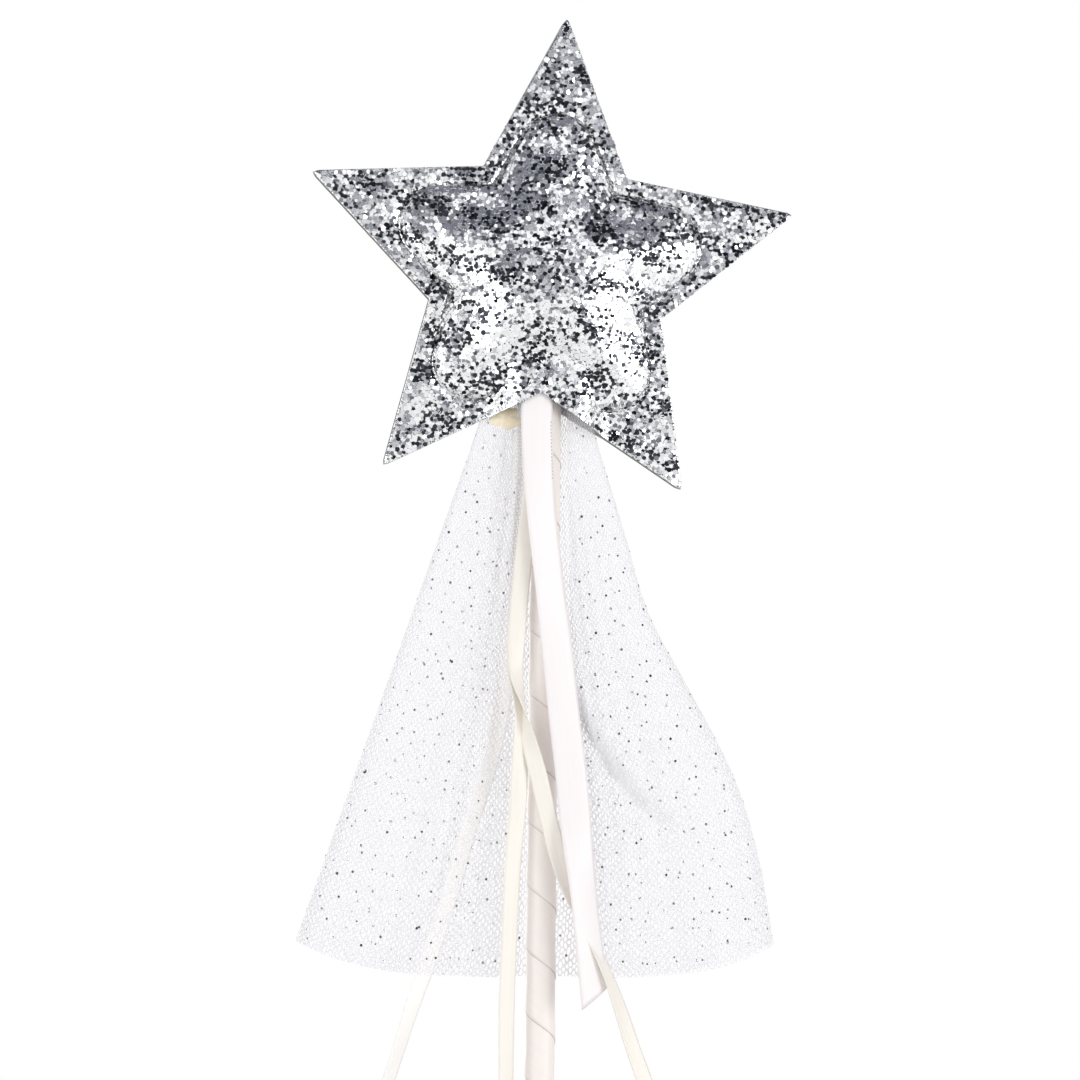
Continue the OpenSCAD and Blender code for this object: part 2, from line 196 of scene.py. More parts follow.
def softened(knots, at, steps, reach, **padding):
    # The listed values along a share of 0 to 1, rounded where they turn
    fine = np.linspace(0, 1, steps)
    plain = np.pad(np.interp(fine, *np.array(knots, float).T), reach, **padding)
    width = 2 * reach + 1
    return np.interp(at, fine, np.convolve(plain, np.ones(width) / width, "valid"))


def addStrip(name, centre, side, face, across, lift, thickness):
    # A closed thin band: across and lift are distances along side and face, one row for each centre
    middle = centre[:, None] + side[:, None] * across[..., None]
    front = middle + face[:, None] * (lift + thickness / 2)[..., None]
    rear = middle + face[:, None] * (lift - thickness / 2)[..., None]
    rings = np.concatenate([front, rear[:, ::-1]], axis=1)
    rows, around = rings.shape[:2]
    faces = gridFaces(rows, around, True)
    for start in (0, (rows - 1) * around):
        faces += [(start + j, start + j + 1, start + around - 2 - j, start + around - 1 - j)
                  for j in range(around // 2 - 1)]
    down = np.repeat(lineLength(centre)[:, None], around, axis=1)
    uv = np.stack([np.concatenate([across, across[:, ::-1]], axis=1), down], axis=-1)
    return addMesh(name, rings, faces, uv)


# Node groups and materials

def makeGroup(name, inputs, outputs):
    group = bpy.data.node_groups.new(name, "ShaderNodeTree")
    for socket, kind, value in inputs:
        made = group.interface.new_socket(socket, in_out="INPUT", socket_type=kind)
        if value is not None:
            made.default_value = value
    for socket, kind in outputs:
        group.interface.new_socket(socket, in_out="OUTPUT", socket_type=kind)
    return group, group.nodes.new("NodeGroupInput"), group.nodes.new("NodeGroupOutput")


def addNode(tree, kind, settings=None, **links):
    # Sockets are named with _ for a space, and take a number, a colour or another node's socket
    node = tree.nodes.new(kind)
    for key, value in (settings or {}).items():
        setattr(node, key, value)
    for key, value in links.items():
        socket = node.inputs[int(key[1:])] if key[1:].isdigit() else node.inputs[key.replace("_", " ")]
        if isinstance(value, bpy.types.NodeSocket):
            tree.links.new(value, socket)
        else:
            socket.default_value = value
    return node


def calc(tree, operation, a, b=0.0, c=0.0):
    return addNode(tree, "ShaderNodeMath", {"operation": operation}, _0=a, _1=b, _2=c).outputs[0]


def ramped(tree, value, low, high, toLow=0.0, toHigh=1.0):
    return addNode(tree, "ShaderNodeMapRange", {"interpolation_type": "SMOOTHSTEP"}, Value=value,
                   From_Min=low, From_Max=high, To_Min=toLow, To_Max=toHigh).outputs["Result"]


def mixedColour(tree, share, a, b):
    node = addNode(tree, "ShaderNodeMix", {"data_type": "RGBA"}, _0=share)
    for socket, value in ((node.inputs[6], a), (node.inputs[7], b)):
        if isinstance(value, bpy.types.NodeSocket):
            tree.links.new(value, socket)
        else:
            socket.default_value = (*value, 1)
    return node.outputs[2]


def newMaterial(name, colour, roughness, **settings):
    material = bpy.data.materials.new(name)
    material.use_nodes = True
    shader = material.node_tree.nodes["Principled BSDF"]
    shader.inputs["Base Color"].default_value = (*colour, 1)
    shader.inputs["Roughness"].default_value = roughness
    for key, value in settings.items():
        shader.inputs[key.replace("_", " ")].default_value = value
    return material, material.node_tree, shader


def feed(node, **links):
    for key, value in links.items():
        node.id_data.links.new(value, node.inputs[key.replace("_", " ")])


def addBump(tree, shader, height, strength, distance):
    bump = addNode(tree, "ShaderNodeBump", None, Strength=strength, Distance=distance, Height=height)
    feed(shader, Normal=bump.outputs["Normal"])


def noise(tree, place, scale, detail):
    return addNode(tree, "ShaderNodeTexNoise", None, Vector=place, Scale=scale, Detail=detail).outputs["Fac"]


weaveValues = {
    "streaks": (1400.0, 40.0),  # per metre, across and along the ribbon
    "streakDetail": 3.0,
    "streakSpan": (0.3, 0.7),
    "roughSpan": (0.25, 0.75),
    "weftPitch": 0.6,
    "warpShare": 0.7,
    "threadShare": 0.35,
    "roughness": (0.36, 0.5),
    "meanRoughness": 0.42,
    "sheenRoughness": 0.4,
    "bumpDepth": 0.05 * mm,
}
hexNetValues = {
    "uneven": 330.0,
    "pull": 1.2,
    "softness": (0.2, 1.8),  # shares of a strand at which it begins and ends to fade
}
foilValues = {
    "dark": (0.012, 0.013, 0.018),
    "middle": (0.27, 0.28, 0.31),
    "silver": (0.97, 0.97, 0.98),
    "roughness": (0.34, 0.2),
    "plain": ((0.9, 0.9, 0.92), 0.25),  # colour and roughness before a tone is given
}


def makeSatinWeave(v):
    # Long warp threads crossed by fine weft, and soft streaks along the ribbon
    group, given, out = makeGroup(
        "satinWeave",
        [("Vector", "NodeSocketVector", None), ("Thread", "NodeSocketFloat", 0.16 * mm)],
        [("Streak", "NodeSocketFloat"), ("Height", "NodeSocketFloat"), ("Roughness", "NodeSocketFloat")])
    split = addNode(group, "ShaderNodeSeparateXYZ", None, Vector=given.outputs["Vector"]).outputs
    x, y = (calc(group, "MULTIPLY", split[axis], scale) for axis, scale in zip("XY", v["streaks"]))
    long = addNode(group, "ShaderNodeCombineXYZ", None, X=x, Y=y).outputs[0]
    streak = noise(group, long, 1.0, v["streakDetail"])

    def threads(axis, pitch):
        turns = calc(group, "DIVIDE", split[axis], given.outputs["Thread"])
        return calc(group, "SINE", calc(group, "MULTIPLY", turns, math.tau * pitch))

    weft = calc(group, "MULTIPLY", threads("Y", v["weftPitch"]), 1 - v["warpShare"])
    woven = calc(group, "MULTIPLY_ADD", threads("X", 1), v["warpShare"], weft)
    height = calc(group, "MULTIPLY_ADD", woven, v["threadShare"], streak)
    feed(out, Streak=ramped(group, streak, *v["streakSpan"]), Height=height,
         Roughness=ramped(group, streak, *v["roughSpan"], *v["roughness"]))
    return group


def makeHexNet(v):
    # Strands on the sides of a hexagon lattice, in the cloth's own metres
    group, given, out = makeGroup(
        "hexNet",
        [("Vector", "NodeSocketVector", None), ("Cell", "NodeSocketFloat", 1.3 * mm),
         ("Strand", "NodeSocketFloat", 0.12), ("Stretch", "NodeSocketFloat", 1.5)],
        [("Mask", "NodeSocketFloat"), ("Height", "NodeSocketFloat")])
    given = given.outputs
    split = addNode(group, "ShaderNodeSeparateXYZ", None, Vector=given["Vector"]).outputs
    uneven = addNode(group, "ShaderNodeTexNoise", None, Vector=given["Vector"], Scale=v["uneven"], Detail=1.0)
    pulled = addNode(group, "ShaderNodeSeparateColor", None, Color=uneven.outputs["Color"]).outputs
    length = calc(group, "MULTIPLY", given["Cell"], given["Stretch"])
    along = calc(group, "MULTIPLY_ADD", pulled[1], v["pull"], calc(group, "DIVIDE", split["Y"], length))
    cells = calc(group, "DIVIDE", split["X"], given["Cell"])
    across = calc(group, "MULTIPLY_ADD", pulled[0], v["pull"], cells)
    rise = math.sqrt(3)

    def fromMiddle(place, period):
        wrapped = calc(group, "FLOORED_MODULO", place, period)
        return calc(group, "ABSOLUTE", calc(group, "SUBTRACT", wrapped, 0.5 * period))

    def nearest(shift):
        x = fromMiddle(calc(group, "ADD", along, 0.5 * shift), 1.0)
        y = fromMiddle(calc(group, "ADD", across, 0.5 * rise * shift), rise)
        slant = calc(group, "MULTIPLY_ADD", y, 0.5 * rise, calc(group, "MULTIPLY", x, 0.5))
        return calc(group, "MAXIMUM", x, slant)  # 0 in a cell's middle, 0.5 on its sides

    inside = calc(group, "SUBTRACT", 0.5, calc(group, "MINIMUM", nearest(0), nearest(1)))
    solid, clear = (calc(group, "MULTIPLY", given["Strand"], share) for share in v["softness"])
    height = calc(group, "SUBTRACT", 1.0, calc(group, "MULTIPLY", inside, 2.0))
    feed(out, Mask=ramped(group, inside, solid, clear, 1.0, 0.0), Height=height)
    return group


def makeFoilTone(v):
    # One tone for each chip of foil, from near black to silver
    group, given, out = makeGroup(
        "foilTone", [("Tone", "NodeSocketFloat", 0.5)],
        [("Color", "NodeSocketColor"), ("Roughness", "NodeSocketFloat")])
    tone = given.outputs["Tone"]
    colour = addNode(group, "ShaderNodeValToRGB", None, Fac=tone)
    steps = colour.color_ramp.elements
    steps[0].color = (*v["dark"], 1)
    steps[1].color = (*v["silver"], 1)
    steps.new(0.5).color = (*v["middle"], 1)
    feed(out, Color=colour.outputs["Color"], Roughness=ramped(group, tone, 0.0, 1.0, *v["roughness"]))
    return group


satinWeave, hexNet, foilTone = makeSatinWeave(weaveValues), makeHexNet(hexNetValues), makeFoilTone(foilValues)


def useGroup(tree, group, **links):
    node = addNode(tree, "ShaderNodeGroup", {"node_tree": group}, **links)
    return node.outputs


def fabricUv(tree):
    return addNode(tree, "ShaderNodeUVMap", {"uv_map": "fabric"}).outputs["UV"]


def satinMaterial(name, v):
    material, tree, shader = newMaterial(
        name, v["colour"], weaveValues["meanRoughness"], Sheen_Weight=v["sheen"],
        Sheen_Roughness=weaveValues["sheenRoughness"])
    weave = useGroup(tree, satinWeave, Vector=fabricUv(tree), Thread=v["thread"])
    colour = mixedColour(tree, weave["Streak"], v["shade"], v["colour"])
    feed(shader, Base_Color=colour, Roughness=weave["Roughness"])
    addBump(tree, shader, weave["Height"], v["bump"], weaveValues["bumpDepth"])
    return material


def objectPlace(tree):
    return addNode(tree, "ShaderNodeTexCoord").outputs["Object"]


def grainedMaterial(name, v, tones, **settings):
    # Two tones mixed by noise of a scale and detail, which also lifts the surface where v has a bump
    material, tree, shader = newMaterial(name, tones[1], v["roughness"], **settings)
    grain = noise(tree, objectPlace(tree), *v["grain"])
    feed(shader, Base_Color=mixedColour(tree, grain, *tones))
    if "bump" in v:
        addBump(tree, shader, grain, *v["bump"])
    return material, tree, shader, grain


def shadedMaterial(name, v):
    # Grained with a darker share of its own colour
    dark = tuple(v["darkTone"] * c for c in v["colour"])
    return grainedMaterial(name, v, (dark, v["colour"]))[0]


print("materials: groups ready")


# Ribbons: the route's points are in mm, each [across, before the wrapped stick, down from the hinge line]
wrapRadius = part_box("wrap_end_band")[1].x
ribbonHang = joints["white_swing"]["pos_m"][2]
skirtHang = joints["skirt_swing"]["pos_m"][2]

whiteValues = {
    "piece": "white_ribbon_cloth",
    "slot": "white_satin",
    "nodes": ["white_ribbon_head", "white_ribbon_tail"],
    "bodies": ["wand", "white_ribbon"],
    "joint": "white_swing",
    "blendBelow": 15 * mm,
    "route": [
        [-3.7, 1.45, -11.8], [-3.7, 1.45, -6], [-3.7, 1.45, 0.3], [-3.4, 1.5, 9], [-3, 1.65, 18],
        [-2.3, 1.8, 26], [-1.4, 2, 34], [-0.3, 2.2, 43], [1, 2.6, 54], [2.5, 3.1, 66], [3.9, 3.5, 78],
        [5.4, 3.9, 91], [7.1, 4.4, 104], [8.5, 4.9, 118], [9.8, 5.3, 131], [11.3, 5.6, 145], [13, 5.7, 158],
        [14.8, 5.6, 172.5]],
    "width": 9.5 * mm,
    "length": 0.185,
    "slant": 5.5 * mm,
    "camber": 0.35 * mm,
    "wave": 0.35 * mm,
    "twist": [(0, 0), (0.1, 0), (0.2, 16), (0.33, 20), (0.43, 4), (0.7, 2), (0.82, 26), (1, 24)],
    "stand": 0.9,
    "colour": (0.94, 0.90, 0.905),
    "shade": (0.925, 0.88, 0.885),
    "thread": 0.17 * mm,
    "sheen": 0.1,
    "bump": 0.1,
}
creamLook = {
    "slot": "cream_satin",
    "blendBelow": 15 * mm,
    "width": 5.2 * mm,
    "slant": 0,
    "stand": 0.9,
    "camber": 0.18 * mm,
    "colour": (0.93, 0.89, 0.825),
    "shade": (0.91, 0.865, 0.79),
    "thread": 0.15 * mm,
    "sheen": 0.12,
    "bump": 0.12,
}
creamMiddleValues = creamLook | {
    "piece": "cream_middle_cloth",
    "nodes": ["cream_ribbon_heads", "cream_middle_tail"],
    "bodies": ["wand", "cream_middle"],
    "joint": "cream_middle_swing",
    "route": [
        [-4.2, 0.45, -11.8], [-4.2, 0.45, -6], [-4.2, 0.45, 0.3], [-4.3, 0.5, 8], [-4.6, 0.6, 18],
        [-5.3, 0.7, 26], [-6.4, 0.8, 34], [-7.4, 0.9, 43], [-8.2, 1, 52], [-9, 1.1, 61], [-9.6, 1.2, 70],
        [-9.5, 1.25, 77], [-8.5, 1.3, 83], [-7.9, 1.35, 89], [-7.9, 1.4, 97], [-7.9, 1.5, 106],
        [-8.2, 1.6, 115], [-9.1, 1.7, 125], [-9.9, 1.85, 136], [-10.3, 1.95, 147], [-10.7, 2, 159],
        [-11.1, 2.1, 172], [-11.2, 2.2, 186], [-11.2, 2.3, 200], [-11, 2.3, 215], [-10.8, 2.2, 231],
        [-10.5, 2, 247]],
    "length": 0.258,
    "wave": 0.25 * mm,
    "twist": [(0, 0), (0.31, 0), (0.355, 42), (0.41, 42), (0.46, 8), (0.6, 18), (0.8, 25), (1, 20)],
}
creamRightValues = creamLook | {
    "piece": "cream_right_cloth",
    "nodes": ["cream_ribbon_heads", "cream_right_tail"],
    "bodies": ["wand", "cream_right"],
    "joint": "cream_right_swing",
    "route": [
        [-4.3, 0.95, -11.8], [-4.3, 0.95, -6], [-4.3, 0.95, 0.3], [-4.3, 1, 8], [-4.7, 1.1, 18],
        [-5.4, 1.2, 26], [-6.4, 1.35, 34], [-7.4, 1.5, 43], [-8.2, 1.6, 52], [-8.9, 1.75, 61],
        [-9.4, 1.85, 70], [-9.2, 2, 77], [-8, 2.1, 83], [-7.2, 2.2, 88], [-6.2, 2.4, 93], [-4.5, 2.6, 99],
        [-2.4, 2.8, 106], [-0.7, 3, 113], [1.1, 3.3, 120], [3.1, 3.55, 128], [5.6, 3.8, 136],
        [8.7, 4.05, 144], [11.9, 4.25, 151], [15.3, 4.45, 158], [18.9, 4.65, 166], [22.7, 4.8, 176],
        [26.5, 4.9, 187], [30.5, 5, 197.5], [34.7, 5, 208], [39.1, 4.9, 219], [43.4, 4.8, 230],
        [47.5, 4.7, 240.5]],
    "length": 0.266,
    "wave": 0.12 * mm,
    "twist": [(0, 0), (0.3, 0), (0.35, 40), (0.378, 90), (0.405, 140), (0.45, 170), (0.55, 182),
              (0.62, 225), (0.68, 238), (0.76, 208), (0.86, 196), (1, 188)],
}
# The left tail hangs inside the skirt: [across, behind the stick's axis, down from the skirt's hinge line]
creamLeftValues = creamLook | {
    "piece": "cream_left_cloth",
    "nodes": ["cream_left_tail"],
    "bodies": ["tulle_skirt", "cream_left"],
    "joint": "cream_left_swing",
    "blendBelow": 12 * mm,
    "route": [
        [-7.9, 0.2, -5.6], [-7.9, 0.6, 0.5], [-7.9, 0.8, 10], [-7.8, 1, 22], [-7.8, 1.3, 34], [-8.1, 1.5, 46],
        [-8.8, 1.8, 56], [-10.1, 2, 65], [-11.8, 2.25, 74], [-13.5, 2.5, 84], [-15.8, 2.8, 95],
        [-19.1, 3.1, 106], [-22.4, 3.35, 117], [-25.4, 3.55, 128], [-29.1, 3.75, 140], [-33.2, 3.9, 153],
        [-37.6, 4, 166], [-41.9, 4, 180], [-47, 4, 196], [-51.9, 4, 213], [-56.4, 3.9, 231]],
    "length": 0.243,
    "wave": 0.12 * mm,
    "stand": 0,
    "twist": [(0, -35), (0.14, -30), (0.3, 6), (0.66, 6), (0.78, 42), (1, 30)],
    # The left tail's cream is painted lighter than the other tails, painted light where the net shades it
    "colour": (0.99, 0.97, 0.945),
    "shade": (0.98, 0.96, 0.93),
}
ribbonValues = {
    "thickness": 0.28 * mm,
    "step": 1.6 * mm,
    "columns": 9,
    "soften": (200, 6),  # steps along the whole length, and how many to each side are averaged
    "cutShare": 0.07,
    "waveLength": 11 * mm,
    "waveStart": 0.3,
    "blendAbove": 3 * mm,
}


def frontPath(v):
    route = [(x * mm, -wrapRadius - y * mm, ribbonHang - z * mm) for x, y, z in v["route"]]
    return smoothLine(route, ribbonValues["step"])


def innerPath(v):
    route = [(x * mm, y * mm, skirtHang - z * mm) for x, y, z in v["route"]]
    return smoothLine(route, ribbonValues["step"])


def blendAtHinge(piece):
    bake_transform(piece)


def makeRibbon(path, v, material):
    place = lineLength(path)
    share = place / place[-1]
    along = unit(np.gradient(path, axis=0))
    side = unit(np.cross(np.array((0, -1.0, 0)), along))
    side *= -np.sign(side[:, :1])  # towards the left as the front shows it
    face = unit(np.cross(side, along))
    face *= -np.sign(face[:, 1:2])  # towards the front
    turn = np.radians(softened(v["twist"], share, *ribbonValues["soften"], mode="edge"))[:, None]
    turnedSide = side * np.cos(turn) + face * np.sin(turn)
    turnedFace = face * np.cos(turn) - side * np.sin(turn)
    half = v["width"] / 2
    # A turned edge stands on what lies behind it
    standing = path + face * np.abs(np.sin(turn)) * half * v["stand"]
    u = np.linspace(-1, 1, ribbonValues["columns"])[None]
    wave = v["wave"] * (np.sin(place / ribbonValues["waveLength"]) * ease(share / ribbonValues["waveStart"]))
    lift = v["camber"] * (1 - u**2) + wave[:, None] * (0.5 + 0.5 * u)
    across = np.repeat(u * half, len(path), axis=0)
    piece = addStrip(v["piece"], standing, turnedSide, turnedFace, across, lift,
                     ribbonValues["thickness"])
    # The end is cut on a slant, so that its left corner hangs lower
    cut = ease((share - 1) / ribbonValues["cutShare"] + 1)[:, None]
    both = np.concatenate([across, across[:, ::-1]], axis=1) / half
    points = meshPoints(piece).reshape(len(path), -1, 3)
    movePoints(piece, points + along[:, None] * (both * cut * v["slant"] / 2)[..., None])
    piece.data.materials.append(material)
    return piece


def hangRibbon(path, v, material):
    piece = makeRibbon(path, v, material)
    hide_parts(*v["nodes"])
    blendAtHinge(piece)
    print("ribbon:", v["piece"], "is", round(lineLength(path)[-1], 4), "m long")


stitchValues = {
    "first": 12 * mm,
    "last": 29 * mm,
    "spacing": 1.05 * mm,
    "length": 0.26 * mm,
    "radius": 0.15 * mm,
    "profile": [(-1, 0.35), (-0.6, 1), (0.6, 1), (1, 0.35)],  # shares of length and radius, ring by ring
    "around": 6,
    "lean": 0.25,
    "inset": 0.5 * mm,
    "stand": 0.03 * mm,
    "colour": (0.52, 0.47, 0.46),
    "darkTone": 0.8,
    "roughness": 0.6,
    "grain": (6000.0, 2.0),
}


def makeStitches(v, path, ribbon):
    # Small thread stitches along the ribbon's right edge, below the mouth
    down = np.arange(v["first"], v["last"], v["spacing"])
    spot = np.stack([np.interp(down, lineLength(path), path[:, k]) for k in range(3)], axis=-1)
    spot[:, 0] += ribbon["width"] / 2 - v["inset"]
    spot[:, 1] -= ribbonValues["thickness"] / 2 + v["stand"]
    rings, around = len(v["profile"]), v["around"]
    angle = np.arange(around) * math.tau / around
    stitch = np.array([(r * v["radius"] * math.cos(a), r * v["radius"] * math.sin(a), h * v["length"])
                       for h, r in v["profile"] for a in angle])
    lean = np.array([[1, 0, v["lean"]], [0, 1, 0], [-v["lean"], 0, 1]])
    points = np.concatenate([middle + stitch @ lean for middle in spot])
    ends = [tuple(range(around))[::-1], tuple(range((rings - 1) * around, rings * around))]
    faces = [tuple(start + i for i in face) for start in range(0, len(points), rings * around)
             for face in gridFaces(rings, around, True) + ends]
    piece = addMesh("white_ribbon_stitches", points, faces)
    piece.data.materials.append(shadedMaterial("stitchThread", v))
    blendAtHinge(piece)


whitePath = frontPath(whiteValues)
hangRibbon(whitePath, whiteValues, satinMaterial("whiteSatin", whiteValues))
makeStitches(stitchValues, whitePath, whiteValues)
creamSatin = satinMaterial("creamSatin", creamLook)
for creamValues in (creamMiddleValues, creamRightValues):
    hangRibbon(frontPath(creamValues), creamValues, creamSatin)
# The left tail gets a painted-light copy of the cream satin, lighter to make up for the net's shade
hangRibbon(innerPath(creamLeftValues), creamLeftValues, satinMaterial("paintedLightCreamSatin", creamLeftValues))


# Stick: satin wound in one unbroken band, each turn lapped over the one below it
wrapValues = {
    "pitch": 19.2 * mm,
    "seamZ": 137.7 * mm,
    "lapShare": 0.12,
    "lap": 0.2 * mm,
    "lapFade": 0.3,
    "thickness": 0.26 * mm,
    "stepsPerTurn": 72,
    "columns": 15,
    "leastWidth": 0.6 * mm,
    "pucker": 0.03 * mm,
    "puckers": 9,  # in each turn
    "puckerStart": 0.5,
    "colour": (0.94, 0.875, 0.84),
    "shade": (0.925, 0.855, 0.815),
    # Colour and width of the painted seam shadow along each turn's lower edge
    "seam": (0.6, 0.52, 0.48),
    "seamShadeWidth": 0.3 * mm,
    "thread": 0.17 * mm,
    "sheen": 0.1,
    "bump": 0.07,
}


def seamShadedSatin(name, v):
    # The lower edge of each turn is painted darker, a painted shadow that draws the seam
    material = satinMaterial(name, v)
    tree = material.node_tree
    base = tree.nodes["Principled BSDF"].inputs["Base Color"]
    across = addNode(tree, "ShaderNodeSeparateXYZ", None, Vector=fabricUv(tree)).outputs["X"]
    # Painted shade: the colour darkens towards the seam colour near each turn's lower edge
    edge = ramped(tree, across, 0.0, v["seamShadeWidth"], 1.0, 0.0)
    tree.links.new(mixedColour(tree, edge, base.links[0].from_socket, v["seam"]), base)
    return material


def roundStick(angle):
    # Directions outward and upward at each angle from the front
    outward = np.stack([-np.sin(angle), -np.cos(angle), 0 * angle], axis=-1)
    return outward, np.repeat(np.array([[0, 0, 1.0]]), len(angle), axis=0)


def makeWrap(v):
    low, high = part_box("ribbon_wrap")
    width = v["pitch"] * (1 + v["lapShare"])
    first = (low.z + v["leastWidth"] - width - v["seamZ"]) / v["pitch"]
    last = (high.z - v["leastWidth"] - v["seamZ"]) / v["pitch"]
    turn = np.linspace(first, last, int((last - first) * v["stepsPerTurn"]))
    start = v["seamZ"] + v["pitch"] * turn
    bottom, top = np.clip(start, low.z, high.z), np.clip(start + width, low.z, high.z)
    angle = math.tau * turn
    outward, upward = roundStick(angle)
    u = np.linspace(0, 1, v["columns"])[None]
    z = mixed(bottom[:, None], top[:, None], u)
    share = (z - start[:, None]) / width
    lap = v["lap"] * ease(1 - (share - v["lapShare"]) / v["lapFade"])
    puckered = ease((share - v["puckerStart"]) / (1 - v["puckerStart"]))
    pucker = v["pucker"] * np.sin(v["puckers"] * angle[:, None]) * puckered
    radius = wrapRadius - v["lap"] - v["thickness"] / 2
    centre = outward * radius + upward * start[:, None]
    across = z - centre[:, 2:3]
    piece = addStrip("satin_winding", centre, upward, outward, across, lap + pucker,
                     v["thickness"])
    piece.data.materials.append(seamShadedSatin("wrapSatin", v))
    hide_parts("ribbon_wrap")
    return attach(piece, "wand")


endBandValues = {
    "startDegrees": 110,
    "turnDegrees": 415,
    "lapStart": 0.8,
    "lapShare": 0.06,
    "lapRise": 0.3 * mm,
    "steps": 110,
    "columns": 9,
    "thickness": 0.26 * mm,
    "roll": 0.12 * mm,
    "rollPower": 6,
}


def makeEndBand(v, material):
    low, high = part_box("wrap_end_band")
    share = np.linspace(0, 1, v["steps"])
    outward, upward = roundStick(math.radians(v["turnDegrees"]) * share + math.radians(v["startDegrees"]))
    lapped = ease((share - v["lapStart"]) / v["lapShare"])
    radius = wrapRadius - v["thickness"] / 2 - v["lapRise"] * (1 - lapped)
    u = np.linspace(-1, 1, v["columns"])[None]
    half = (high.z - low.z) / 2
    centre = outward * radius[:, None] + upward * (low.z + half)
    across = np.repeat(u * half, v["steps"], axis=0)
    lift = -v["roll"] * np.abs(u) ** v["rollPower"] + 0 * share[:, None]
    piece = addStrip("grip_end_band", centre, upward, outward, across, lift, v["thickness"])
    piece.data.materials.append(material)
    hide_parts("wrap_end_band")
    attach(piece, "wand")


winding = makeWrap(wrapValues)
makeEndBand(endBandValues, winding.data.materials[0])
print("stick: wound")


# Star: outline, pressed seam and puffed centre as functions of the angle from the upper tip
starValues = {
    "tipRadius": 77.7 * mm,
    "notchRadius": 37.2 * mm,
    "centreZ": 345.6 * mm,
    "tilt": 3.7,
    "arms": 5,
    "rimMargin": 5.4 * mm,
    "coverThickness": 1.1 * mm,
    "boardHalf": 0.9 * mm,
    "wear": 0.25 * mm,
    "crown": 10 * mm,
    "crownPower": 0.6,
    "crownTip": 0.05 * mm,
    "domeShare": 0.9,
    "seamTipRadius": 12 * mm,
    "cutTipRadius": 0.8 * mm,
    "seamPress": 0.55 * mm,
    "pressWidth": 0.9 * mm,
    "padClear": 0.5 * mm,
    "padStart": 0.2,
    "padShare": 0.7,
    "bridging": 6,
    "stepsPerWedge": 22,
    "rimShares": [1, 0.99, 0.95, 0.85, 0.7, 0.55, 0.4, 0.27, 0.16, 0.08, 0.03],
    "crownShares": [0, 0.012, 0.03, 0.055, 0.09, 0.13, 0.18, 0.24, 0.31, 0.39, 0.48, 0.58,
                    0.68, 0.78, 0.87, 0.95],
    "mouthHalfWidth": 21 * mm,
    "mouthFlank": 12.5 * mm,
    "mouthDepth": 6.6 * mm,
    "mouthTop": 330.5 * mm,
    "mouthFade": 14 * mm,
    "sag": 1.5 * mm,
    "sagPlace": (4 * mm, 325 * mm),
    "sagReach": 17 * mm,
}
groundValues = {
    "colour": (0.4, 0.41, 0.43),
    "roughness": 0.3,
    "gritScale": 2600.0,
    "toneSpan": (0.0, 0.45),
    "tones": (0.1, 0.95),
    "bump": (0.5, 0.1 * mm),  # strength and depth
}
backingValues = {
    "colour": (0.42, 0.41, 0.40),
    "darkTone": 0.6,
    "roughness": 0.75,
    "grain": (900.0, 4.0),
    "bump": (0.4, 0.1 * mm),
}


def starFacts(v):
    half = math.pi / v["arms"]
    tip, notch = v["tipRadius"], v["notchRadius"]
    edge = math.sqrt(tip**2 + notch**2 - 2 * tip * notch * math.cos(half))
    distance = tip * notch * math.sin(half) / edge
    return half, distance, math.acos(distance / tip)


halfSector, edgeDistance, edgeLean = starFacts(starValues)
seamShare = (edgeDistance - starValues["rimMargin"]) / edgeDistance
domeRadius = (starValues["notchRadius"] + edgeDistance) / 2 + starValues["rimMargin"]
rimHalf = starValues["boardHalf"] + starValues["coverThickness"]


def outlineRadius(angle, rounding):
    fromTip = np.abs((angle + halfSector) % (2 * halfSector) - halfSector)
    middle = starValues["tipRadius"] - rounding / math.cos(edgeLean)
    end = math.atan2(rounding * math.sin(edgeLean), middle + rounding * math.cos(edgeLean))
    arc = middle * np.cos(fromTip) + np.sqrt(np.maximum(rounding**2 - (middle * np.sin(fromTip)) ** 2, 0))
    return np.where(fromTip < end, arc, edgeDistance / np.cos(fromTip - edgeLean))


def seamRadius(angle, share):
    star = outlineRadius(angle, starValues["seamTipRadius"] / seamShare) * seamShare
    return (1 - share) * mixed(star, domeRadius, ease(share / starValues["domeShare"]))


def starPlace(angle, radius):
    tilted = angle + math.radians(starValues["tilt"])
    return radius * np.sin(tilted), starValues["centreZ"] + radius * np.cos(tilted)


def crownAt(share):
    return starValues["crown"] * (1 - (1 - share) ** 2) ** starValues["crownPower"]


def mouthAt(x, z):
    v = starValues
    return (v["mouthDepth"] * ease((v["mouthHalfWidth"] - np.abs(x)) / v["mouthFlank"])
            * ease((v["mouthTop"] - z) / v["mouthFade"]))


def starAngles(perWedge):
    share = (1 - np.cos(np.linspace(0, math.pi, perWedge + 1)[:-1])) / 2
    return np.concatenate([halfSector * (w + share) for w in range(2 * starValues["arms"])])


# Padding: a flat star of wadding, blown up by a cloth simulation with its floor held
paddingValues = {
    "voxel": 2.6 * mm,
    "stepsPerWedge": 10,
    "inset": 0.06,
    "innerShare": 0.6,
    "startHeight": 2.8 * mm,
    "pressure": 4,
    "frames": 20,
    "quality": 6,
    "cap": 16 * mm,
    "floor": 1.0 * mm,
    "heldReach": 0.4,
    "coverClear": 0.2 * mm,
    "fill": 0.8,
    "colour": (0.86, 0.85, 0.82),
    "darkTone": 0.85,
    "roughness": 0.9,
    "grain": (600.0, 6.0),
    "bump": (0.5, 0.3 * mm),
}


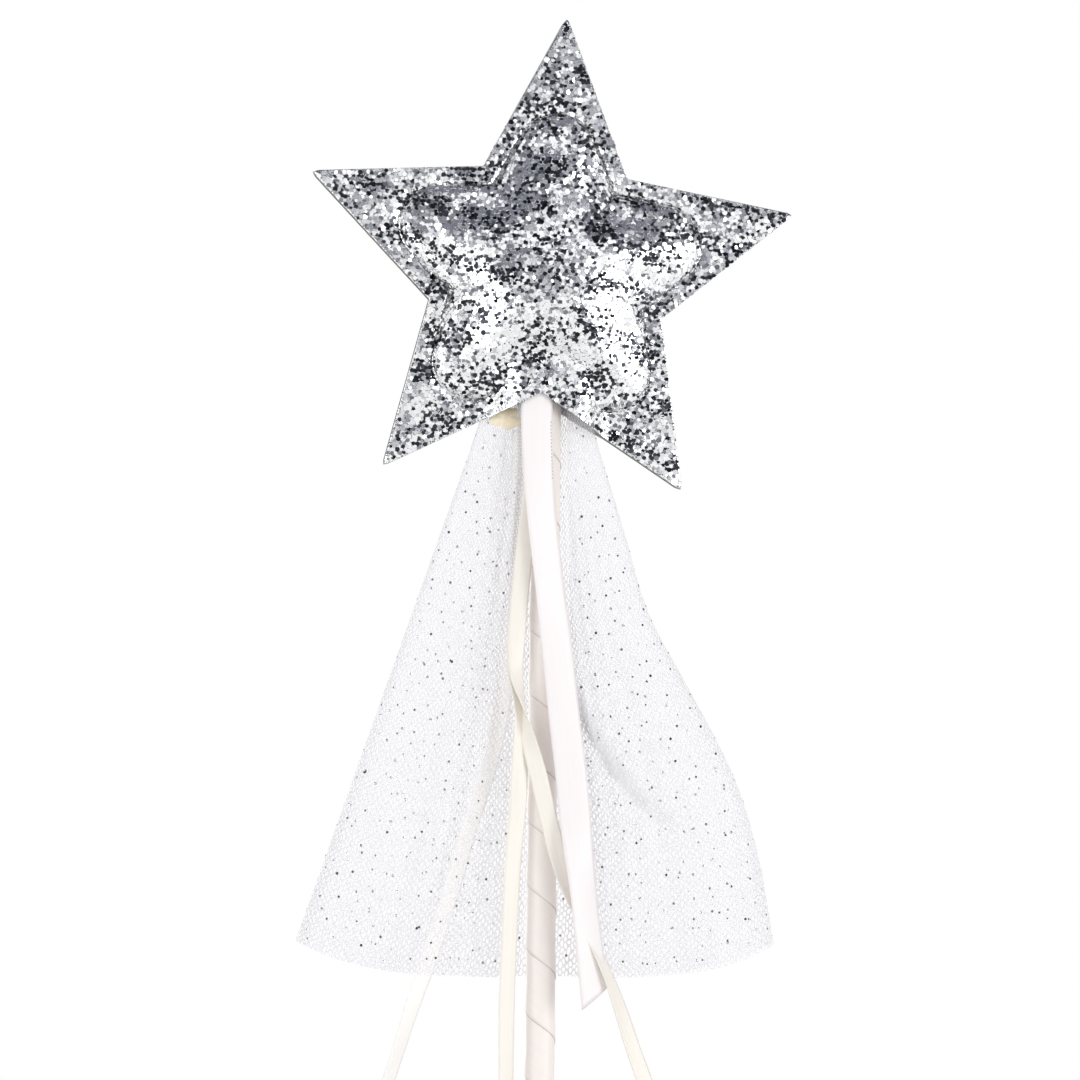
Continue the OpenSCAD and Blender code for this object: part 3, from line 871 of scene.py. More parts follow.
def paddingPlain(v):
    # The star of the seam as a low prism, floor at the board
    angle = starAngles(v["stepsPerWedge"])
    low, high = v["floor"], v["startHeight"]
    inner, outer = v["innerShare"], v["inset"]
    rows = []
    for share, depth in ((inner, low), (outer, low), (outer, high), (inner, high)):
        x, z = starPlace(angle, seamRadius(angle, share))
        rows.append(np.stack([x, 0 * x - depth, z], axis=-1))
    middles = [(0, -depth, starValues["centreZ"]) for depth in (low, high)]
    faces = cappedFaces(len(rows), len(angle))
    return addMesh("star_front_wadding", np.concatenate(rows + [middles]), faces)


def applyModifiers(piece):
    view = bpy.context.evaluated_depsgraph_get()
    mesh = bpy.data.meshes.new_from_object(piece.evaluated_get(view))
    piece.modifiers.clear()
    piece.data = mesh


def inflate(piece, v):
    remesh = piece.modifiers.new("remesh", "REMESH")
    remesh.mode = "VOXEL"
    remesh.voxel_size = v["voxel"]
    applyModifiers(piece)
    start = meshPoints(piece)
    held = piece.vertex_groups.new(name="held")
    onFloor = np.flatnonzero(start[:, 1] > -v["floor"] - v["heldReach"] * v["voxel"])
    held.add(onFloor.tolist(), 1, "REPLACE")
    cloth = piece.modifiers.new("cloth", "CLOTH")
    cloth.settings.vertex_group_mass = "held"
    cloth.settings.use_pressure = True
    cloth.settings.uniform_pressure_force = v["pressure"]
    cloth.settings.effector_weights.gravity = 0
    cloth.settings.quality = v["quality"]
    cloth.point_cache.frame_end = v["frames"]
    for number in range(1, v["frames"] + 1):
        scene.frame_set(number)
    applyModifiers(piece)
    scene.frame_set(1)
    move = meshPoints(piece) - start
    far = np.linalg.norm(move, axis=1, keepdims=True)
    return start + move * np.minimum(1, v["cap"] / np.maximum(far, 1e-9))


def makePadding(v):
    piece = paddingPlain(v)
    target = rimHalf - starValues["coverThickness"] + starValues["crown"] - starValues["padClear"]
    points = inflate(piece, v)
    depth = -points[:, 1] - v["floor"]
    points[:, 1] = -v["floor"] - np.maximum(depth, 0) * (target - v["floor"]) / depth.max()
    movePoints(piece, points)
    return piece


castFrom = 0.1  # rays start this far before the star's middle plane


def castDepth(piece, x, z):
    # How far in front of the star's middle plane the piece stands at each place, or nan
    tree = BVHTree.FromObject(piece, bpy.context.evaluated_depsgraph_get())
    found = [tree.ray_cast(Vector((a, -castFrom, b)), Vector((0, 1, 0)))[0]
             for a, b in zip(x.ravel(), z.ravel())]
    return np.array([math.nan if hit is None else -hit.y for hit in found]).reshape(x.shape)


def fitPadding(padding, cover, v):
    # The wadding keeps inside its sheet wherever the seam presses the sheet down
    points = meshPoints(padding)
    room = castDepth(cover, points[:, 0], points[:, 2]) - v["coverThickness"] - paddingValues["coverClear"]
    points[:, 1] = np.maximum(points[:, 1], -np.maximum(room, paddingValues["floor"]))
    movePoints(padding, points)


def makeCover(v, padding):
    angle = starAngles(v["stepsPerWedge"])
    rimShares, crownShares = np.array(v["rimShares"]), np.array(v["crownShares"])
    edge, seam = outlineRadius(angle, v["cutTipRadius"]), seamRadius(angle, 0)
    radius = np.concatenate([mixed(seam, edge, s)[None] for s in rimShares]
                            + [seamRadius(angle, s)[None] for s in crownShares])
    x, z = starPlace(angle[None], radius)
    rim = np.full((len(rimShares), len(angle)), rimHalf)
    rim[0] -= v["wear"]  # at the cut edge
    share = crownShares[:, None] + 0 * angle[None]
    swell = rimHalf + crownAt(share)
    blown = castDepth(padding, x[len(rimShares):], z[len(rimShares):]) + v["padClear"] + v["coverThickness"]
    blown = np.where(np.isnan(blown), swell, blown)
    puffed = mixed(swell, blown, ease(share / v["padStart"]) * v["padShare"])
    for _ in range(v["bridging"]):  # the sheet bridges the wadding's small lumps
        puffed[2:-1] = (puffed[2:-1] * 2 + puffed[1:-2] + puffed[3:] + np.roll(puffed, 1, 1)[2:-1]
                        + np.roll(puffed, -1, 1)[2:-1]) / 6
    depth = np.concatenate([rim, puffed])
    fromSeam = np.abs(np.concatenate([rimShares * (edge - seam)[:, None].mean(), crownShares * domeRadius]))
    depth -= v["seamPress"] * np.exp(-(fromSeam[:, None] / v["pressWidth"]) ** 2)
    fromSag = np.hypot(x - v["sagPlace"][0], z - v["sagPlace"][1])
    depth += v["sag"] * np.exp(-((fromSag / v["sagReach"]) ** 2))  # the wadding has settled below the middle
    return x, z, np.maximum(depth, mouthAt(x, z) + v["coverThickness"])


def coverPiece(name, x, z, depth, v, side, materials):
    rows, count = x.shape
    inner = depth - v["coverThickness"]
    outerRing = np.stack([x, -side * depth, z], axis=-1)
    innerRing = np.stack([x, -side * inner, z], axis=-1)
    points = np.concatenate([innerRing[::-1], outerRing]).reshape(-1, 3)
    middle = depth[-1].mean() + v["crownTip"]
    middles = [(0, -side * (middle - v["coverThickness"]), v["centreZ"]), (0, -side * middle, v["centreZ"])]
    faces = cappedFaces(2 * rows, count)
    piece = addMesh(name, np.concatenate([points, middles]), faces)
    for material in materials:
        piece.data.materials.append(material)
    # The sheet's backing and its cut edge lie before the outer face's second ring
    front, innerTip = (rows + 1) * count, 2 * rows * count
    backing = [int(max(p.vertices) < front or innerTip in p.vertices) for p in piece.data.polygons]
    piece.data.polygons.foreach_set("material_index", backing)
    return piece


def glitterGround(v):
    # Fine grit between the large flakes
    material, tree, shader = newMaterial("glitterGround", v["colour"], v["roughness"], Metallic=1.0)
    cells = addNode(tree, "ShaderNodeTexVoronoi", None, Vector=objectPlace(tree), Scale=v["gritScale"])
    tone = addNode(tree, "ShaderNodeSeparateColor", None, Color=cells.outputs["Color"])
    foil = useGroup(tree, foilTone, Tone=ramped(tree, tone.outputs[0], *v["toneSpan"], *v["tones"]))
    feed(shader, Base_Color=foil["Color"], Roughness=foil["Roughness"])
    addBump(tree, shader, tone.outputs[1], *v["bump"])
    return material


def makeStar(v):
    front = makePadding(paddingValues)
    front.data.materials.append(shadedMaterial("wadding", paddingValues))
    x, z, depth = makeCover(v, front)
    materials = (glitterGround(groundValues), shadedMaterial("sheetBacking", backingValues))
    covers = [coverPiece(f"star_{name}_sheet", x, z, depth, v, side, materials)
              for name, side in (("front", 1), ("back", -1))]
    fitPadding(front, covers[0], v)
    back = front.copy()
    back.data = front.data.copy()
    back.name = "star_back_wadding"
    movePoints(back, meshPoints(back) * (1, -1, 1))
    back.data.flip_normals()
    scene.collection.objects.link(back)
    for name, padding, cover in zip(("front", "back"), (front, back), covers):
        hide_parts(f"star_{name}_cover")
        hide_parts(f"star_{name}_padding")
        for piece in (padding, cover):
            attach(piece, "wand")
    return covers


starCovers = makeStar(starValues)
print("star: padded and covered")


# Glitter: loose hexagon chips of foil, strewn over each cover
flakeValues = {
    "spacing": 1.2 * mm,
    "jitter": 0.36 * mm,
    "radius": (0.52 * mm, 0.9 * mm),
    "stretch": (0.8, 1),
    "tilt": 3,
    "looseTilt": 12,
    "looseShare": 0.3,
    "spinJitter": 0.01,
    "clumpTilt": 5,
    "clumpWaves": 7,
    "clumpLength": (7 * mm, 18 * mm),
    "lift": 0.13 * mm,
    "inset": 0.55 * mm,
    "darkShare": 0.25,
    "paintedDarkClump": 1.1,
    "darkLimits": (0.04, 0.6),
    "middleShare": 0.1,
    # The dark and middle tones are partly the glitter's own colours and partly painted dark reflections
    "tones": [(0, 0.09), (0.3, 0.6), (0.9, 1)],  # dark, middle and bright flakes
    "seed": 11,
}


def flakeSpots(v, random):
    reach = starValues["tipRadius"]
    rows = np.arange(-reach, reach, v["spacing"] * math.sqrt(3) / 2)
    columns = np.arange(-reach, reach, v["spacing"])
    x = columns[None] + (np.arange(len(rows))[:, None] % 2) * v["spacing"] / 2
    z = rows[:, None] + 0 * x
    x, z = x + random.normal(0, v["jitter"] / 2, x.shape), z + random.normal(0, v["jitter"] / 2, z.shape)
    angle = np.arctan2(x, z) - math.radians(starValues["tilt"])
    outline = outlineRadius(angle % math.tau, starValues["cutTipRadius"])
    inside = np.hypot(x, z) < outline * (1 - v["inset"] / edgeDistance)
    return x[inside], starValues["centreZ"] + z[inside]


def clumpLean(v, places, random):
    # Neighbouring flakes lean together, so bright and dark ones gather in clumps; dark tones are also painted
    # onto the same clumps
    total = np.zeros_like(places)
    for _ in range(v["clumpWaves"]):
        heading, phase, way = random.uniform(0, math.tau, 3)
        across = places[:, 0] * math.cos(heading) + places[:, 2] * math.sin(heading)
        wave = np.sin(across * math.tau / random.uniform(*v["clumpLength"]) + phase)
        total[:, 0] += wave * math.cos(way)
        total[:, 2] += wave * math.sin(way)
    return total * math.radians(v["clumpTilt"]) / math.sqrt(v["clumpWaves"] / 2)


def makeFlakes(v, cover, side, name, material):
    random = np.random.default_rng(v["seed"] + side)
    x, z = flakeSpots(v, random)
    tree = BVHTree.FromObject(cover, bpy.context.evaluated_depsgraph_get())
    hits = [tree.ray_cast(Vector((a, -side * castFrom, b)), Vector((0, side, 0))) for a, b in zip(x, z)]
    places = np.array([hit[0] for hit in hits if hit[0] is not None])
    normals = np.array([hit[1] for hit in hits if hit[0] is not None])
    count = len(places)
    normals *= np.where(normals[:, 1:2] * side > 0, -1, 1)
    lean = np.radians(np.where(random.uniform(0, 1, count) < v["looseShare"], v["looseTilt"], v["tilt"]))
    normals = unit(normals + lean[:, None] * random.normal(0, 1, (count, 3)) + clumpLean(v, places, random))
    uneven = v["spinJitter"] * random.normal(0, 1, (count, 3))
    sideways = unit(np.cross(normals, np.array((0.0, 0, 1)) + uneven))
    upward = np.cross(normals, sideways)
    radius = random.uniform(*v["radius"], count)
    spin = random.uniform(0, math.tau, count)
    stretch = random.uniform(*v["stretch"], count)
    ring = hexRings(places + normals * v["lift"], sideways, upward, radius, spin, stretch)
    foot = places - normals * v["lift"]
    points = np.concatenate([ring, foot[:, None]], axis=1)
    each = chipSides + 1  # a flake's points, its ring and its foot
    faces = []
    for i in range(0, each * count, each):
        faces.append(tuple(range(i, i + chipSides)))
        faces += [(i + (k + 1) % chipSides, i + k, i + chipSides) for k in range(chipSides)]
    piece = addMesh(name, points, faces, smooth=False)
    # Painted reflection: dark tones are drawn more often where the clumps lean one way
    gathered = clumpLean(v, places, random)[:, 0] / math.radians(v["clumpTilt"])
    dark = np.clip(v["darkShare"] * (1 + v["paintedDarkClump"] * gathered), *v["darkLimits"])
    draw = random.uniform(0, 1, count)
    darkTone, middleTone, brightTone = (random.uniform(low, high, count) for low, high in v["tones"])
    tone = np.where(draw < dark, darkTone, np.where(draw < dark + v["middleShare"], middleTone, brightTone))
    storeValue(piece, "tone", np.repeat(tone, each))
    piece.data.materials.append(material)
    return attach(piece, "wand")


def foilMaterial(name):
    material, tree, shader = newMaterial(name, *foilValues["plain"], Metallic=1.0)
    tone = addNode(tree, "ShaderNodeAttribute", {"attribute_name": "tone"}).outputs["Fac"]
    foil = useGroup(tree, foilTone, Tone=tone)
    feed(shader, Base_Color=foil["Color"], Roughness=foil["Roughness"])
    return material


flakeFoil = foilMaterial("flakeFoil")
for name, cover, side in zip(("front", "back"), starCovers, (1, -1)):
    flakes = makeFlakes(flakeValues, cover, side, f"star_{name}_glitter", flakeFoil)
    print("glitter:", len(flakes.data.polygons) // (chipSides + 1), "flakes on the", name)


# Tulle: one strip of net round the back of the stick, its two ends brought to the front as flaps
tulleValues = {
    "hemDrop": 158.5 * mm,
    "hemCornerRise": 10.5 * mm,
    "hemLeft": 73.6 * mm,
    "hemRight": 71.8 * mm,
    "topLeft": 22.8 * mm,
    "topRight": 16.4 * mm,
    "hemFront": 3.1 * mm,
    "hemBack": 11 * mm,
    "hemFold": 1.2 * mm,
    "backFold": 2.2 * mm,
    "headingRise": 17.4 * mm,
    "headingSpread": 7 * mm,
    "rimDepth": 0.5 * mm,
    "topFront": 1 * mm,
    "topBack": 2.2 * mm,
    "netClear": 0.75 * mm,
    "bellHalfWidth": 10 * mm,
    "flapTop": 6.2 * mm,
    "flapLeftHem": 12.5 * mm,
    "headingLean": 0.3,
    "rightEdge": [(0, 0), (0.17, 0.15), (0.33, 0.27), (0.5, 0.54), (0.67, 0.79), (0.83, 0.92), (1, 1)],
    "edgeSoften": (120, 8),
    "flapRightHem": 9.5 * mm,
    "leftFolds": [
        {"place": [(0, -9), (0.3, -11), (1, -17)], "width": [(0, 3), (1, 4)],
         "strength": [(0, 0.5), (0.3, 0.4), (0.5, 0)]},
        {"place": [(0, -13), (0.29, -19), (0.86, -32), (1, -35)], "width": [(0, 1.2), (0.5, 1.8), (1, 2)],
         "strength": [(0, 0.2), (0.3, 0.3), (0.8, 0.25), (1, 0)]}],
    "rightFolds": [
        {"place": [(0.4, 5), (0.44, 7.4), (0.5, 10), (0.56, 15), (0.61, 20), (0.655, 26), (0.7, 33.5),
                   (0.75, 42)],
         "width": [(0.4, 3), (0.5, 6), (0.6, 8), (0.7, 9)],
         "strength": [(0.36, 0), (0.45, 0.9), (0.6, 1), (0.66, 0.75), (0.74, 0)]}],
    "foldStart": (0.15, 0.25),  # shares of a fold's width
    "foldFade": (0.1, 0.9),
    "foldRise": 1.2 * mm,
    "gather": 3.2,
    # Painted shade: the net's colour darkens towards this where it is drawn together in a fold
    "foldShadeColour": (0.7, 0.695, 0.72),
    "folds": 2.5,
    "backFolds": 3,
    "hemPower": 4,
    "pleatDepth": 0.35 * mm,
    "pleats": 9,
    "pleatWander": (1.3, 5),
    "pleatStart": 0.2,
    "pleatPower": 3,
    "crease": 1.1 * mm,
    "creaseAt": -0.52,
    "creaseWidth": 0.025,
    "creaseStart": 0.5,
    "rows": 108,
    "turnColumns": 12,
    "backColumns": 90,
    "flapColumns": 66,
    "cell": 1.25 * mm,
    "strand": 0.11,
    "stretch": 1.75,
    "spread": 0.4,
    "shadow": 0.2,
    "colour": (0.815, 0.81, 0.845),
    "paleTone": 1.06,
    "roughness": 0.55,
    "sheen": 0.1,
    "grain": (300.0, 2.0),
    "bump": (0.3, 0.1 * mm),
    "blendAbove": 11 * mm,
    "blendBelow": 20 * mm,
    "flat": (0.29, 0.175),
    "cutArea": 0.036,
}


def makeNetPoints(v):
    s = np.linspace(-v["headingRise"] / v["hemDrop"], 1, v["rows"])[:, None]
    down = np.maximum(s, 0)
    above = np.clip(-s * v["hemDrop"] / v["headingSpread"], 0, 1)
    leftReach = mixed(v["topLeft"], v["hemLeft"], s)
    rightEdge = softened(v["rightEdge"], down, *v["edgeSoften"], mode="reflect", reflect_type="odd")
    rightReach = np.where(s < 0, v["topRight"] + v["headingLean"] * v["hemDrop"] * s,
                          mixed(v["topRight"], v["hemRight"], rightEdge))
    leftFlap, rightFlap = (mixed(v["flapTop"], v[hem], down) for hem in ("flapLeftHem", "flapRightHem"))
    frontDepth, backDepth = (np.where(s < 0, mixed(v[top], v["rimDepth"], above), mixed(v[top], v[hem], down))
                             for top, hem in (("topFront", "hemFront"), ("topBack", "hemBack")))

    def acrossShare(x):
        return np.where(x < 0, x / leftReach, x / rightReach)

    def foldWave(x):
        u = acrossShare(x)
        wander, waves = v["pleatWander"]
        pleat = v["pleatDepth"] * np.sin(math.tau * v["pleats"] * u + wander * np.sin(waves * u))
        pleat = pleat * ease(down / v["pleatStart"]) * (1 - np.abs(u) ** v["pleatPower"])
        crease = v["crease"] * np.exp(-(((u - v["creaseAt"]) / v["creaseWidth"]) ** 2))
        swing = v["hemFold"] * down * np.sin(math.tau * v["folds"] * u)
        return swing + pleat - crease * ease(down / v["creaseStart"])

    def frontY(x):
        return foldWave(x) - frontDepth

    def backY(x):
        u = acrossShare(x)
        wave = v["backFold"] * down * (1 - u * u) * np.cos(math.tau * v["backFolds"] * u)
        bell = (wrapRadius + v["netClear"]) * ease((v["bellHalfWidth"] - np.abs(x)) / v["bellHalfWidth"])
        return foldWave(x) + np.maximum(backDepth + wave, bell)

    def rowZ(x):
        rise = np.where(s < 0, 0, v["hemCornerRise"] * np.abs(acrossShare(x)) ** v["hemPower"])
        return skirtHang - s * (v["hemDrop"] - rise)

    half = (frontDepth + backDepth) / 2
    left, right = half - leftReach, rightReach - half
    runs = []

    def shares(count):
        return np.linspace(0, 1, count, endpoint=False)[None]

    def gathered(x, folds):
        # How far the net is drawn together along each fold, sharp on its left and fading to its right
        total = 0 * x
        (early, rise), (late, fade) = v["foldStart"], v["foldFade"]
        for fold in folds:
            at, wide, strength = (np.interp(down, *np.array(fold[key]).T)
                                  for key in ("place", "width", "strength"))
            share = (x / mm - at) / wide
            total = total + strength * ease((share + early) / rise) * (1 - ease((share - late) / fade))
        return total

    def addFlap(start, end, folds):
        x = mixed(start, end, shares(v["flapColumns"]))
        dense = gathered(x, folds)
        runs.append((x, frontY(x) - v["foldRise"] * dense, dense))

    def addPlain(x, y):
        runs.append((x, y, 0 * x))

    turn, x = shares(v["turnColumns"]), mixed(left, right, shares(v["backColumns"]))
    addFlap(-leftFlap, left, v["leftFolds"])
    addPlain(left - half * np.sin(math.pi * turn), mixed(frontY(left), backY(left), ease(turn)))
    addPlain(x, backY(x))
    addPlain(right + half * np.sin(math.pi * turn), mixed(backY(right), frontY(right), ease(turn)))
    addFlap(right, rightFlap, v["rightFolds"])
    x, y, dense = (np.concatenate([run[k] for run in runs], axis=1) for k in range(3))
    return np.stack([x, y, rowZ(x)], axis=-1), dense


def netMaterial(v):
    material, tree, shader = newMaterial("dottedNet", v["colour"], v["roughness"], Sheen_Weight=v["sheen"])
    dense = addNode(tree, "ShaderNodeAttribute", {"attribute_name": "dense"}).outputs["Fac"]
    strand = calc(tree, "MULTIPLY_ADD", dense, v["strand"] * v["gather"], v["strand"])
    net = useGroup(tree, hexNet, Vector=fabricUv(tree), Cell=v["cell"], Strand=strand, Stretch=v["stretch"])
    pale = tuple(min(1, v["paleTone"] * c) for c in v["colour"])
    plain = mixedColour(tree, noise(tree, fabricUv(tree), *v["grain"]), v["colour"], pale)
    # The clear threads let most of the light through, so the net's own shadow is faint
    shadow = addNode(tree, "ShaderNodeLightPath").outputs["Is Shadow Ray"]
    shown = ramped(tree, shadow, 0.0, 1.0, 1.0, v["shadow"])
    # Where the net gathers, its threads widen and their colour is mixed towards a painted fold shade
    feed(shader, Base_Color=mixedColour(tree, dense, plain, v["foldShadeColour"]),
         Alpha=calc(tree, "MULTIPLY", net["Mask"], shown))
    addBump(tree, shader, net["Height"], *v["bump"])
    return material


def makeTulle(v):
    points, dense = makeNetPoints(v)
    rows, columns = points.shape[:2]
    step = np.linalg.norm(np.diff(points, axis=1), axis=-1)
    along = np.concatenate([np.zeros((rows, 1)), np.cumsum(step, axis=1)], axis=1)
    along -= along[:, columns // 2, None]  # measured from the middle of the back
    down = np.linspace(0, v["hemDrop"] + v["headingRise"], rows)
    across = mixed(along[-1:], along, v["spread"])  # the threads draw together towards the gathers
    uv = np.stack(np.broadcast_arrays(across, down[:, None]), axis=-1)
    piece = addMesh("tulle_net", points, gridFaces(rows, columns), uv, closed=False)
    storeValue(piece, "dense", dense)
    piece.data.materials.append(netMaterial(v))
    area = sum(p.area for p in piece.data.polygons)
    print("tulle: hem", round(along[-1, -1] - along[-1, 0], 4), "m, area", round(area, 5), "m2")
    return piece, points, along, down


dotValues = {
    "spacing": 6.7 * mm,
    "rowShare": 0.866,
    "jitter": 1.6 * mm,
    "radius": 0.42 * mm,
    "sizes": (0.75, 1.15),
    "height": 0.16 * mm,
    "darkShares": (0.2, 0.7),
    "darkAcross": (-5 * mm, 30 * mm),  # where the dark dots begin, and over what reach they grow
    "darkUp": (180 * mm, 50 * mm),
    "tones": [(0.05, 0.3), (0.45, 0.9)],
    "edge": 2.5 * mm,
    "seed": 5,
}


def makeDots(v, points, along, down, material):
    random = np.random.default_rng(v["seed"])
    u, w = np.meshgrid(np.arange(along.min(), along.max(), v["spacing"]),
                       np.arange(v["edge"], down[-1] - v["edge"], v["spacing"] * v["rowShare"]))
    u = u + (np.arange(len(u))[:, None] % 2) * v["spacing"] / 2
    u = (u + random.normal(0, v["jitter"], u.shape)).ravel()
    w = np.clip(w + random.normal(0, v["jitter"], w.shape), v["edge"], down[-1] - v["edge"]).ravel()
    row = np.clip(np.searchsorted(down, w) - 1, 0, len(down) - 2)
    inside = (u > along[row, 0] + v["edge"]) & (u < along[row, -1] - v["edge"])
    u, w, row = u[inside], w[inside], row[inside]
    column = np.array([np.searchsorted(along[i], a) - 1 for i, a in zip(row, u)])
    a = ((u - along[row, column]) / (along[row, column + 1] - along[row, column]))[:, None]
    b = ((w - down[row]) / (down[row + 1] - down[row]))[:, None]
    upper = mixed(points[row, column], points[row, column + 1], a)
    lower = mixed(points[row + 1, column], points[row + 1, column + 1], a)
    spot = mixed(upper, lower, b)
    across = unit(points[row, column + 1] - points[row, column])
    normal = unit(np.cross(across, lower - upper))
    rise = np.cross(normal, across)
    count = len(spot)
    radius = v["radius"] * random.uniform(*v["sizes"], count)
    ring = hexRings(spot, across, rise, radius, random.uniform(0, math.tau, count))
    tips = spot[:, None] + normal[:, None] * np.array((-1, 1))[None, :, None] * v["height"]
    each = chipSides + 2  # a dot's points, its ring and two tips
    faces = []
    for i in range(0, each * count, each):
        below, above = i + chipSides, i + chipSides + 1
        for k in range(chipSides):
            here, after = i + k, i + (k + 1) % chipSides
            faces += [(here, after, above), (after, here, below)]
    piece = addMesh("tulle_dots", np.concatenate([ring, tips], axis=1), faces, smooth=False)
    grown = 1
    for axis, (start, reach) in ((0, v["darkAcross"]), (2, v["darkUp"])):
        grown = grown * ease((spot[:, axis] - start) / reach)
    dark = random.uniform(0, 1, count) < mixed(*v["darkShares"], grown)
    darkTone, paleTone = (random.uniform(low, high, count) for low, high in v["tones"])
    storeValue(piece, "tone", np.repeat(np.where(dark, darkTone, paleTone), each))
    piece.data.materials.append(material)
    return piece


tulle, netPoints, netAlong, netDown = makeTulle(tulleValues)
dots = makeDots(dotValues, netPoints, netAlong, netDown, foilMaterial("dotFoil"))
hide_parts("tulle_heading", "tulle_skirt")
for cloth in (tulle, dots):
    blendAtHinge(cloth)
print("tulle: hung with", len(dots.data.polygons) // (2 * chipSides), "dots")


# Glue: a lumpy dab pressed into the net beside the white ribbon
glueValues = {
    "rings": 12,
    "around": 40,
    "spread": 1.45,
    "reach": 0.9,
    "lumps": [(3, 0.6, -0.1), (5, 0, -0.09), (8, 1, 0.05)],  # waves around, phase and depth
    "dome": 0.5,
    "ringShares": (0.999, 0.08),
    "ripple": 0.15,
    "rippleWaves": (2, 4),  # around and outward
    "sink": 0.1 * mm,
    "colour": (0.97, 0.79, 0.51),
    "pale": (0.985, 0.92, 0.79),
    "roughness": 0.22,
    "grain": (700.0, 3.0),
    "bump": (0.3, 0.15 * mm),
    "glossSpan": (0.3, 0.7),
    "gloss": (0.16, 0.34),
    "coat": 0.3,
    "subsurface": 0.25,
    "subsurfaceReach": (2 * mm, 1.4 * mm, 0.7 * mm),
}


def makeGlue(v):
    low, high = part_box("glue_dab")
    middle, size = (low + high) / 2, (high - low) / 2
    angle = np.linspace(0, math.tau, v["around"], endpoint=False)[None]
    lumpy = v["reach"] + sum(depth * np.sin(waves * angle + phase) for waves, phase, depth in v["lumps"])
    share = np.linspace(*v["ringShares"], v["rings"])[:, None]
    waves, outward = v["rippleWaves"]
    top = (1 - share**2) * (v["dome"] + v["ripple"] * np.sin(waves * angle + outward * share) * share)
    reach = share * lumpy
    rows = np.stack([middle.x + v["spread"] * size.x * reach * np.cos(angle), high.y - (high.y - low.y) * top,
                     middle.z + size.z * reach * np.sin(angle)], axis=-1)
    floorY = high.y + v["sink"]
    floor = np.stack([rows[0, :, 0], 0 * angle[0] + floorY, rows[0, :, 2]], axis=-1)
    points = np.concatenate([floor[None], rows]).reshape(-1, 3)
    middles = [(middle.x, floorY, middle.z), (middle.x, rows[-1, :, 1].mean(), middle.z)]
    faces = cappedFaces(v["rings"] + 1, v["around"])
    piece = addMesh("glue_blob", np.concatenate([points, middles]), faces)
    material, tree, shader, cloud = grainedMaterial(
        "hotGlue", v, (v["colour"], v["pale"]), Subsurface_Weight=v["subsurface"],
        Subsurface_Radius=v["subsurfaceReach"], Coat_Weight=v["coat"])
    feed(shader, Roughness=ramped(tree, cloud, *v["glossSpan"], *v["gloss"]))
    piece.data.materials.append(material)
    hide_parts("glue_dab")
    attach(piece, "wand")


makeGlue(glueValues)
print("glue: set")


# The dowel and the core board keep their CAD shapes
dowelValues = {
    "colour": (0.72, 0.55, 0.36),
    "late": (0.55, 0.38, 0.22),
    "roughness": 0.65,
    "grainScale": (1, 1, 0.06),
    "rings": {"Scale": 260.0, "Distortion": 4.0, "Detail": 3.0},
    "pores": (2500.0, 4.0),
    "poreSpan": (0.3, 0.7),
    "poreRoughness": (0.55, 0.75),
    "bump": (0.4, 0.1 * mm),
}
boardValues = {
    "colour": (0.63, 0.52, 0.40),
    "fleck": (0.47, 0.37, 0.27),
    "roughness": 0.85,
    "plyScale": (0.15, 1, 0.15),
    "plies": (4000.0, 2.0),
    "flecks": (1200.0, 5.0),
    "fleckSpan": (0.1, 0.45),
    "bump": (0.5, 0.15 * mm),
}


def woodMaterial(v):
    material, tree, shader = newMaterial("birchDowel", v["colour"], v["roughness"])
    mapped = addNode(tree, "ShaderNodeMapping", None, Vector=objectPlace(tree), Scale=v["grainScale"])
    stretched = mapped.outputs[0]
    rings = addNode(tree, "ShaderNodeTexWave", {"wave_type": "RINGS", "rings_direction": "Z"},
                    Vector=stretched, **v["rings"])
    pores = noise(tree, stretched, *v["pores"])
    both = calc(tree, "MULTIPLY", rings.outputs["Fac"], pores)
    feed(shader, Base_Color=mixedColour(tree, both, v["colour"], v["late"]),
         Roughness=ramped(tree, pores, *v["poreSpan"], *v["poreRoughness"]))
    addBump(tree, shader, both, *v["bump"])
    return material


def cardMaterial(v):
    material, tree, shader = newMaterial("coreCard", v["colour"], v["roughness"])
    place = objectPlace(tree)
    layered = addNode(tree, "ShaderNodeMapping", None, Vector=place, Scale=v["plyScale"])
    plies, flecks = noise(tree, layered.outputs[0], *v["plies"]), noise(tree, place, *v["flecks"])
    both = calc(tree, "MULTIPLY", plies, flecks)
    feed(shader, Base_Color=mixedColour(tree, ramped(tree, both, *v["fleckSpan"]), v["fleck"], v["colour"]))
    addBump(tree, shader, both, *v["bump"])
    return material


keptMaterials = {"dowel_core": woodMaterial(dowelValues), "star_core_board": cardMaterial(boardValues)}
for node, material in keptMaterials.items():
    kept = bpy.data.objects[node]
    kept.data.materials.clear()
    kept.data.materials.append(material)
print("kept solids: dowel and board finished")


# Studio: white surroundings, pale floor, a soft key from the right, a fill and a lamp behind
studioValues = {
    "floorRadius": 0.9,
    "floorDrop": 0.8 * mm,
    "floorAround": 96,
    "floorRings": 24,
    "floorInner": 0.02,
    "floorColour": (0.86, 0.86, 0.86),
    "floorRoughness": 0.8,
    "floorFade": (0.08, 0.42),
    "ambient": 0.6,
    "lamps": {  # place, size and power
        "key": ((1.05, -1.05, 0.38), 0.8, 7.5),
        "fill": ((-0.95, -0.95, 0.25), 0.9, 5.5),
        "back": ((-0.5, 1.25, 0.4), 0.9, 6),
    },
    "lampAim": (0, 0, 0.26),
    "curtainProfile": [(-2.3, 0.55), (-2.35, 1.1), (-2.1, 1.75), (-1.3, 2.3), (-0.2, 2.5)],
    "curtainStep": 0.1,
    "curtainHalfWidth": 2.2,
    "curtainColumns": 12,
    "curtainWave": (0.03, 9),
    "curtainGlow": (0.19, 0.2, 0.235),
    "cardPlace": (0.36, -1.95, 1.38),
    "cardSize": (0.44, 0.57),
    "cardAround": 33,
    "cardRings": [0.01, 0.5, 1],
    "cardGlow": (1.25, 1.25, 1.28),
}


